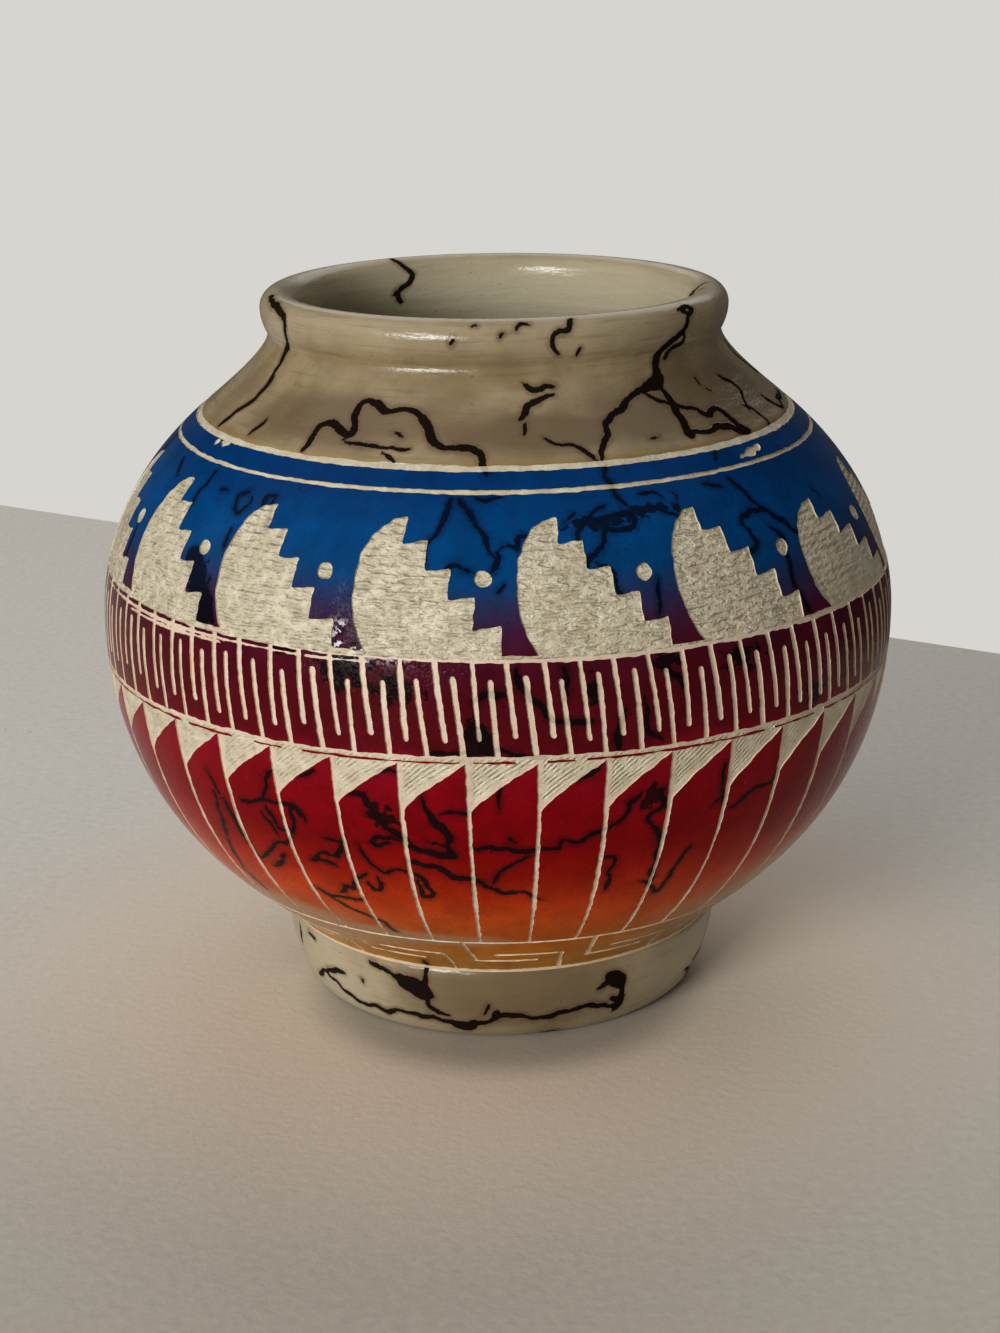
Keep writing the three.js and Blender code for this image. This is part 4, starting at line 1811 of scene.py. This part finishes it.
@dataclass(frozen=True)
class PlacedHairs:
    """Hairs that the front shows: rows of a width and then the angles and heights of a path."""

    neck: Rows = (
        (0.84, (-37, 86.6), (-37, 89.2), (-35, 89.8), (-29, 88.8), (-30, 90.7), (-30, 92), (-28, 92.6),
         (-23, 91.7), (-17, 91.7), (-15, 91.2), (-13, 89.8), (-12, 88.6), (-10, 87.9), (-8, 87.8),
         (-5, 88.1), (-3, 87.6), (-2, 86.6), (-2, 85.3)),
        (0.8, (-77, 102.8), (-59, 101.4), (-59, 97.7), (-63, 95.2), (-62, 93.1), (-61, 91.5), (-62, 90.3),
         (-65, 88.6), (-66, 86.7)),
        (0.48, (-52, 88.9), (-52, 88), (-53, 86.9)),
        (0.4, (-30, 88.1), (-25, 87.8), (-18, 87.6), (-16, 87.8)), (0.48, (-21, 87.2), (-18, 86.6)),
        (0.48, (-20, 89.4), (-18, 89.1)), (0.56, (6, 94.7), (8, 94.1), (11, 94.5), (13, 94.1)),
        (0.64, (13, 93.3), (10, 93), (7, 92.5), (6, 91.6), (5, 90.9)), (0.48, (6, 90.5), (5, 89.4)),
        (0.48, (9, 88.8), (11, 88.4), (14, 87.9), (16, 87.4), (18, 86.1)),
        (0.72, (19, 86.3), (20, 88), (22, 89.5), (24, 90.6), (28, 91.5), (31, 92.5), (35, 93)),
        (1.52, (34, 92.9), (38, 93.5), (40, 93.9), (41, 95)),
        (0.8, (40, 94.4), (42, 96.3), (44, 97.3), (46, 98.5), (50, 99.7), (52, 101.7)),
        (0.64, (44, 96.2), (47, 97.3), (51, 98), (50, 99.2)),
        (0.88, (40, 92.7), (40, 89.6), (39, 87.4), (42, 87.7), (47, 87.8), (51, 87.4), (54, 86.2)),
        (0.8, (39, 92.7), (41, 91), (47, 89.3), (51, 89.4), (52, 88.2), (55, 86.5)),
        (0.48, (34, 92.7), (36, 91.7), (39, 91.1)),
        (0.56, (19, 102.7), (17, 101.6), (14, 100.8), (13, 99.5), (15, 98.6)),
        (0.4, (19, 98.2), (20, 98.9)), (0.4, (1, 101.2), (2, 101.4)),
        (0.4, (5, 101.8), (6, 102.6), (8, 102.4)), (0.4, (-10, 100.2), (-9, 100.6)),
        (0.4, (-5, 102.2), (-4, 102.3)),
        (0.48, (49, 102.3), (52, 102.6), (55, 102.1), (53, 101.7), (50, 102)),
        (0.48, (61, 92.9), (64, 91.7), (65, 90.4), (62, 89.1), (61, 88.3)), (0.4, (52, 93.3), (52, 92.3)),
        (0.4, (53, 91.9), (54, 91.3)), (0.4, (30, 87.9), (32, 87.6)),
        (0.48, (60, 89.3), (62, 88.2), (63, 86.8), (62, 85.6)),
    )
    inside: Rows = (
        (0.75, (-149, 103), (-150.5, 102.4), (-152.5, 101.4), (-155, 100.2), (-152, 99), (-147.5, 98)),
        (0.95, (-148.5, 98.3), (-150, 96.4)),
        (0.9, (88, 102.9), (87, 102.1), (93, 100.6), (100, 98.9), (104, 97)),
        (0.8, (78, 102.7), (82, 101.6), (88, 99.8), (94, 98.2)),
    )
    shoulder: Rows = (
        (0.5, (-4, 83.3), (-2, 82.6), (1, 82.8)),
        (0.58, (-7, 82.7), (-8, 80.9), (-9, 79.2), (-10, 78.3), (-10, 75.5)),
        (0.58, (-6, 82.9), (-4, 81), (-2, 79.2), (-1, 77.4), (0, 76.7)),
        (0.5, (-7, 74.4), (-7, 75.4), (-6, 75.8), (-5, 75.5), (-3, 74.7)),
        (0.5, (-43, 81.5), (-45, 80.9), (-44, 79.1), (-43, 78.8), (-42, 80), (-42, 81.2)),
        (0.5, (-39, 80), (-39, 81.2), (-37, 81.7), (-37, 80.1), (-37, 78.9), (-36, 77.5)),
        (0.43, (-43, 77.3), (-43, 74.6)), (0.5, (-50, 81), (-48, 81.1)),
        (0.5, (-65, 80.6), (-67, 81.6), (-68, 82.3)), (0.5, (-54, 82.6), (-55, 79.2), (-56, 76.7)),
        (2.6, (-49, 73.6), (-47, 72), (-45, 69.6), (-43, 66.4)),
        (0.58, (-69, 73.7), (-69, 69.3), (-66, 65.3)),
        (0.58, (19, 85.9), (18, 84.7), (19, 82.7), (20, 81.1)),
        (0.65, (15, 79.9), (18, 80.6), (21, 80.1), (21, 79.2), (19, 78.8), (16, 78.9), (15, 77.5),
         (13, 76.1), (12, 74.6)),
        (0.43, (23, 82.4), (26, 82.5), (27, 81.8)), (0.43, (29, 82.2), (30, 81.7), (29, 81.2)),
        (0.43, (24, 81.1), (25, 80.4), (28, 79.9), (28, 78.9)), (0.4, (10, 80.1), (11, 80.4), (12, 80.9)),
        (0.43, (12, 77.4), (12, 78.8), (14, 80.5), (17, 81.6)),
        (0.5, (5, 78.8), (3, 78.9), (3, 77.2), (2, 77.6), (0, 77.1), (0, 75.9), (-1, 75)),
        (0.5, (14, 75.6), (16, 73.8), (16, 72.2), (18, 70.9)), (0.43, (22, 73.2), (22, 68.4)),
        (0.58, (50, 75.1), (48, 76.1), (46, 77.4), (44, 78.5), (42, 78.8), (40, 78.3), (39, 77.2),
         (40, 76.2), (41, 75.1), (39, 74.4), (37, 73.6)),
        (0.58, (44, 76.6), (46, 74.7), (45, 72.4), (45, 70.1), (46, 67.8), (47, 64.5)),
        (0.5, (41, 82.6), (42, 81.5), (43, 80.1), (44, 78.7)), (0.4, (35, 82.3), (39, 82)),
        (0.43, (42, 85.6), (41, 84.5)), (0.43, (59, 78.9), (60, 77.7)), (0.43, (0, 72.8), (1, 73.6)),
    )
    combs: Rows = (
        (1.5, (-4, 56), (-2, 55.4), (-1, 53)), (0.7, (-3, 59.5), (-1, 61.1), (1, 60.8)),
        (0.7, (2, 63.6), (3, 60.8), (5, 59), (7, 56.6), (10, 56.7), (12, 56.6)),
        (0.7, (16, 57.9), (15, 55.1), (15, 52.7)), (0.7, (19, 59.1), (19, 54.7), (21, 53.1)),
        (0.6, (-9, 53.2), (-6, 53), (1, 53), (3, 52.1), (6, 52.1)),
        (0.6, (21, 63), (23, 61.1), (24, 59.3)), (0.6, (8, 63.6), (9, 61.6), (8, 59.4)),
        (0.9, (-48, 69.6), (-44, 69.3), (-41, 66.4)),
    )
    feathers: Rows = (
        (0.6, (-38, 41.6), (-36, 42.6), (-33, 43.1), (-31, 43.3), (-29, 42.8), (-28, 41.5)),
        (0.45, (-34, 43.4), (-33, 45.4), (-32, 47.8), (-31, 48.3)),
        (0.52, (-34, 42.1), (-33, 40.2), (-32, 38.5), (-30, 38.6)),
        (0.52, (-31, 38.1), (-34, 36), (-37, 34.3), (-39, 32.3)),
        (0.6, (-25, 39), (-22, 38.6), (-23, 37.2), (-24, 35.9), (-26, 35.8), (-29, 34.5)),
        (0.45, (-28, 34.7), (-26, 35.1), (-24, 34.5)),
        (0.86, (-20, 46), (-18, 46.3), (-18, 45.7), (-17, 44.2), (-16, 42.8), (-15, 42.1), (-13, 40),
         (-11, 38.6), (-9, 37.7), (-6, 37.5)),
        (0.9, (-18, 43.9), (-16, 43.1), (-15, 41.8)),
        (0.52, (-15, 39.2), (-17, 38.5), (-18, 39.2), (-17, 40.3), (-15, 40.5), (-14, 39.6)),
        (0.83, (-10, 46.9), (-10, 45.1), (-8, 42.8), (-7, 41), (-7, 38.8), (-6, 37.5)),
        (0.45, (-10, 40.3), (-8, 39.7), (-7, 38.8)),
        (0.86, (-13, 36.4), (-11, 36.2), (-9, 35.7), (-6, 34.1), (-3, 33.5), (0, 31.6), (2, 31.2)),
        (0.52, (-20, 38.7), (-18, 34.8), (-17, 33.9), (-14, 34.9), (-12, 34.1), (-11, 32.4), (-10, 31),
         (-12, 30.3), (-12, 33.4)),
        (0.52, (-26, 29), (-24, 30.8), (-23, 30.2), (-22, 32.2), (-20, 33.9)),
        (0.45, (-20, 32.1), (-20, 30.6), (-18, 30.7), (-18, 33.1)),
        (0.52, (-30, 29.2), (-28, 28), (-25, 28.4), (-22, 28.3)),
        (0.52, (-28, 27.7), (-24, 25.4), (-21, 24.2), (-19, 21.7)),
        (0.52, (-8, 44.5), (-6, 44.4), (-4, 45)),
        (0.6, (-4, 39.2), (1, 38.7), (5, 38.4), (8, 38.6), (8, 40.2), (11, 39.7), (13, 40.8), (15, 41.2),
         (17, 43), (17, 45.1), (19, 46.1)),
        (0.52, (-1, 33.1), (0, 35.4), (2, 36.8), (4, 37.7)), (0.45, (0, 48.2), (0, 44.8)),
        (0.52, (-44, 45), (-42, 42), (-41, 38.8), (-41, 35.7), (-39, 32.7)),
        (0.5, (-44, 42.2), (-44, 38.3), (-46, 31.8), (-47, 28.2), (-46, 26.2), (-45, 24.5)),
        (0.5, (-33, 34.4), (-34.5, 32.8), (-36, 31.5), (-37, 31.6)),
        (0.5, (-35, 41), (-34, 39.2), (-33, 37.4)),
        (0.5, (-29, 43.4), (-28, 43), (-27.5, 41.7), (-27.5, 40.9)),
        (0.5, (-29, 42.8), (-29, 40.9), (-30, 38.9)), (0.52, (2, 31.5), (4, 31.2), (6, 30.1)),
        (0.52, (14, 36.9), (16, 36.3), (16, 34.9), (15, 33.8), (16, 32.5), (16, 30.7)),
        (0.68, (22, 46.5), (21, 46.1), (22, 44.8), (23, 43.6), (20, 42.4), (20, 41.8), (22, 39.4),
         (23, 36.2), (23, 30.6)),
        (0.52, (21, 31.6), (23, 30.6), (25, 28.5), (26, 30), (26, 31.8), (27, 33.9), (28, 37)),
        (0.45, (31, 48.3), (31, 45.1), (32, 42.2)),
        (0.52, (33, 41.2), (34, 41.2), (36, 42.8), (40, 43.4), (41, 46.1)), (0.45, (1, 40.6), (2, 39.9)),
        (0.45, (30, 42.3), (31, 43)), (0.68, (-16, 49.6), (-15, 50.2), (-13, 50.1)),
        (0.6, (-27, 48.1), (-25, 49.1)), (0.68, (10, 49), (12, 50), (13, 50.7)),
    )
    foot: Rows = (
        (0.59, (-36, 11), (-31, 10), (-25, 8.8), (-21, 8.2)), (0.59, (-62, 3.4), (-53, 6.5), (-46, 7.4)),
        (0.68, (-55, 5.4), (-49, 3.7), (-41, 2.7), (-33, 2.8), (-24, 3.8), (-17, 3.1), (-11, 2.7),
         (-5, 3.5), (1, 4.4), (9, 3.5), (14, 4), (18, 4.2), (24, 5), (30, 3.6), (32, 3.7)),
        (0.59, (-19, 13.3), (-20, 9.3), (-20, 5.8), (-18, 4.4), (-14, 3.7)), (0.45, (-5, 4.6), (-3, 6.3)),
        (0.59, (25, 7.5), (29, 8.9), (32, 8.6), (33, 4.7), (32, 2.6)), (0.45, (11, 0.9), (18, 0.3)),
        (0.59, (-69, 10.5), (-69, 7.5)), (0.51, (-62, 10.6), (-58, 10.6)), (0.51, (-40, 7.1), (-39, 6.8)),
        (2.2, (-27, 9.6), (-24, 8.2), (-19, 7.6)), (1.5, (-14, 2.9), (-9, 2), (-7, 2.9)),
        (1.9, (28, 8.9), (31, 8.2), (32, 6.9)), (1.3, (30, 5.2), (33, 4), (32, 2.6)),
        (1.4, (-2, 3.9), (-1, 5)),
    )

    def hairs(self) -> list[Hair]:
        """All placed hairs, from the mouth down to the foot."""
        below = (*self.shoulder, *self.combs, *self.feathers, *self.foot)
        return self.taken(self.neck) + self.taken(self.inside, True) + self.taken(below)

    def taken(self, rows: Rows, inner: bool = False) -> list[Hair]:
        """Hairs of some rows, on the outside or on the inside."""
        return [Hair(tuple(path), width, inner=inner) for width, *path in rows]


def stroll(start: Array, steps: int, radius: float, rng: Rng) -> Array:
    """Path that runs mostly sideways and bends by chance.

    Args:
        start: angle and height of its start.
        steps: number of its steps.
        radius: radius of the vase there.
        rng: source of the chance.

    Returns:
        Rows of angle and height.
    """
    stride, slant, bend = 1.7, 1.0, 0.4
    first = rng.choice([0.0, math.pi]) + rng.uniform(-slant, slant)
    heading = first + np.cumsum(rng.normal(0.0, bend, steps))
    walk = np.stack([np.degrees(np.cos(heading) / radius), np.sin(heading)], axis=1) * stride
    return start + np.concatenate([[[0.0, 0.0]], np.cumsum(walk, axis=0)])


def strewn_hairs(count: int, low: float, high: float, radius: float, seed: int) -> list[Hair]:
    """Hairs strewn over the sides and the back, each a long one with a twig, turned back at its band's edges.

    Args:
        count: number of hairs.
        low: lowest height of a hair's start.
        high: highest one.
        radius: radius of the vase there.
        seed: seed of the chance.

    Returns:
        The hairs.
    """
    rng = np.random.default_rng(seed)
    unseen, widths = (76.0, 286.0), (0.46, 0.82)
    stem_steps, twig_steps = (3, 14), (2, 6)
    hairs = []
    for _ in range(count):
        start = np.array([rng.uniform(*unseen), rng.uniform(low, high)])
        stem = stroll(start, rng.integers(*stem_steps), radius, rng)
        twig = stroll(stem[len(stem) // 2], rng.integers(*twig_steps), radius, rng)
        for path in (stem, twig):
            path[:, 1] = low + np.abs(path[:, 1] - low)
            path[:, 1] = high - np.abs(high - path[:, 1])
            hairs.append(Hair(tuple(map(tuple, path)), rng.uniform(*widths)))
    return hairs


def all_hairs() -> list[Hair]:
    """Every hair on the vase."""
    # Count, lowest and highest start, radius and seed of the strewn hairs in each band
    bands = (
        (15, 86.5, 101.0, 36.0, 3), (30, 54.0, 84.0, 54.0, 4),
        (38, 21.0, 51.0, 50.0, 5), (8, 1.5, 11.0, 29.0, 6),
    )
    return PlacedHairs().hairs() + [hair for band in bands for hair in strewn_hairs(*band)]


# The scene around the vase


@dataclass(frozen=True)
class Floor:
    """Pale board that the vase stands on, which ends along a slanting edge behind the vase."""

    edge_normal: Point = (0.5163, 0.8563)
    edge_distance: float = 184.1
    reach: float = 700.0
    # Painted shade: the board is painted darker towards the front and lighter towards the back.
    near_tone: Tone = (190, 182, 166)
    far_tone: Tone = (228, 224, 215)
    depths: Ease = Ease(-190.0, 90.0)
    grain: Grain = Grain(1.6, 3.0)
    grain_stops: Stops = ((0.3, (243, 243, 243)), (0.7, (255, 255, 255)))
    dust: Stain = Stain(Grain(2.4, 1.0), Ease(0.79, 0.83, 0.5), (120, 108, 90))
    # Painted light: a warm pale pool round the foot. Painted shade: a dark patch in front of the foot.
    glow_tone: Tone = (242, 228, 206)
    glow: Ease = Ease(100.0, 36.0, 0.75)
    shade_tone: Tone = (76, 78, 76)
    shade_middle: Point = (0.0, -12.0)
    shade: Ease = Ease(32.0, 22.0, 0.5)
    layers: Layers = ((Grain(1.5, 3.0, 0.6), 0.06),)
    roughness: float = 0.55
    gloss: float = 0.2

    def build(self) -> None:
        """Builds the board as one flat piece of the stage."""
        normal = np.array(self.edge_normal)
        across = np.array([-normal[1], normal[0]])
        middle = normal * self.edge_distance
        ends = [middle + across * self.reach, middle - across * self.reach]
        corners = [*ends, *(end - normal * self.reach for end in ends[::-1])]
        mesh = bpy.data.meshes.new("floor")
        mesh.from_pydata([(*(corner * METRE), 0.0) for corner in corners], [], [(0, 1, 2, 3)])
        mesh.materials.append(self.finish())
        board = bpy.data.objects.new("floor", mesh)
        bpy.context.scene.collection.objects.link(board)

    def finish(self) -> Material:
        """Pale grained board, painted darker towards the front as painted shade, with painted light, as if
        thrown back from the vase, round the foot, and painted shade in front of the foot.
        """
        tree = Tree("floor")
        # Painted shade: darker towards the front.
        back = tree.smooth(tree.along("Y"), self.depths)
        colour = tree.mix(back, srgb(self.near_tone), srgb(self.far_tone))
        grain = tree.ramp(tree.noise(self.grain), self.grain_stops)
        colour = tree.stained(tree.mix(1.0, colour, grain, "MULTIPLY"), self.dust)
        # Painted light round the foot.
        colour = tree.mix(tree.smooth(tree.away(0.0, 0.0), self.glow), colour, srgb(self.glow_tone))
        # Painted shade in front of the foot.
        shade = tree.smooth(tree.away(*self.shade_middle), self.shade)
        return tree.finish(
            Base_Color=tree.mix(shade, colour, srgb(self.shade_tone)),
            Roughness=self.roughness,
            Specular_IOR_Level=self.gloss,
            Normal=tree.relief(self.layers),
        )


@dataclass(frozen=True)
class Lamp:
    """Soft rectangular lamp that is aimed at the middle of the vase."""

    name: str
    azimuth: float
    elevation: float
    width: float
    height: float
    power: float
    distance: float = 2000.0
    aim: float = 55.0
    tone: Triple = (1.0, 0.99, 0.97)

    def build(self) -> None:
        """Builds the lamp."""
        data = bpy.data.lights.new(self.name, "AREA")
        data.shape = "RECTANGLE"
        data.size = self.width * METRE
        data.size_y = self.height * METRE
        data.energy = self.power
        data.color = self.tone
        lamp = bpy.data.objects.new(self.name, data)
        turn, rise = math.radians(self.azimuth), math.radians(self.elevation)
        out = np.array([math.sin(turn) * math.cos(rise), -math.cos(turn) * math.cos(rise), math.sin(rise)])
        lamp.location = (out * self.distance + [0.0, 0.0, self.aim]) * METRE
        lamp.rotation_euler = Euler((math.pi / 2 - rise, 0.0, turn), "XYZ")
        bpy.context.scene.collection.objects.link(lamp)


@dataclass(frozen=True)
class Light:
    """Window light from the left of the camera, soft light from three more sides, and a fill all round."""

    lamps: tuple[Lamp, ...] = (
        Lamp("window", -34.0, 15.0, 860.0, 460.0, 29.5),
        Lamp("side", -75.0, 42.0, 2400.0, 2000.0, 8.0),
        Lamp("back", 172.0, 40.0, 1800.0, 1400.0, 9.0),
        Lamp("ceiling", 60.0, 82.0, 2600.0, 2600.0, 7.0),
    )
    fill: float = 0.1
    glossy_fill: float = 0.06
    background: float = 0.68
    tone: tuple[float, float, float, float] = (1.0, 0.975, 0.93, 1.0)

    def build(self) -> None:
        """Builds the lamps and the world, whose background the camera sees brighter than it lights."""
        for lamp in self.lamps:
            lamp.build()
        world = bpy.data.worlds.new("fill")
        world.use_nodes = True
        bpy.context.scene.world = world
        tree = world.node_tree
        path = tree.nodes.new("ShaderNodeLightPath")
        glossy = tree.nodes.new("ShaderNodeMapRange")
        glossy.inputs["To Min"].default_value = self.fill
        glossy.inputs["To Max"].default_value = self.glossy_fill
        tree.links.new(path.outputs["Is Glossy Ray"], glossy.inputs["Value"])
        seen = tree.nodes.new("ShaderNodeMapRange")
        seen.inputs["To Max"].default_value = self.background
        tree.links.new(glossy.outputs["Result"], seen.inputs["To Min"])
        tree.links.new(path.outputs["Is Camera Ray"], seen.inputs["Value"])
        background = tree.nodes["Background"]
        background.inputs["Color"].default_value = self.tone
        tree.links.new(seen.outputs["Result"], background.inputs["Strength"])


@dataclass(frozen=True)
class Viewpoint:
    """Camera at the photograph's place."""

    location: Triple = (0.2, -338.67, 153.83)
    pitch: float = 0.30742
    roll: float = -0.0125
    lens: float = 64.82
    sensor: float = 36.0
    nearest: float = 10.0

    def build(self) -> None:
        """Makes the camera the scene's own."""
        data = bpy.data.cameras.new("camera")
        data.lens = self.lens
        data.sensor_width = self.sensor
        data.clip_start = self.nearest * METRE
        camera = bpy.data.objects.new("camera", data)
        turn = Matrix.Rotation(math.pi / 2 - self.pitch, 4, "X") @ Matrix.Rotation(self.roll, 4, "Z")
        camera.matrix_world = Matrix.Translation([value * METRE for value in self.location]) @ turn
        bpy.context.scene.collection.objects.link(camera)
        bpy.context.scene.camera = camera


def main() -> None:
    """Builds the vase, its room, its light and its camera."""
    logging.basicConfig(level=logging.INFO, format="%(name)s: %(message)s")
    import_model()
    shape = VaseShape()
    profile = shape.profile()
    surface = Surface(
        shape=shape,
        profile=profile,
        marks=HairMarks(profile, all_hairs()),
        paint=BellyPaint().material(),
        clay=EtchedClay().material(),
        bare=BareClay().material(),
    )
    for part in (BareParts, Floors, ShoulderBorder, FanField, CombMeander, FeatherEdge, Feathers, KeyBand):
        log.info("building %s", part.__name__)
        part(surface).build()
    Floor().build()
    Light().build()
    Viewpoint().build()
    bpy.context.scene.view_settings.view_transform = "Standard"


if __name__ == "__main__":
    main()
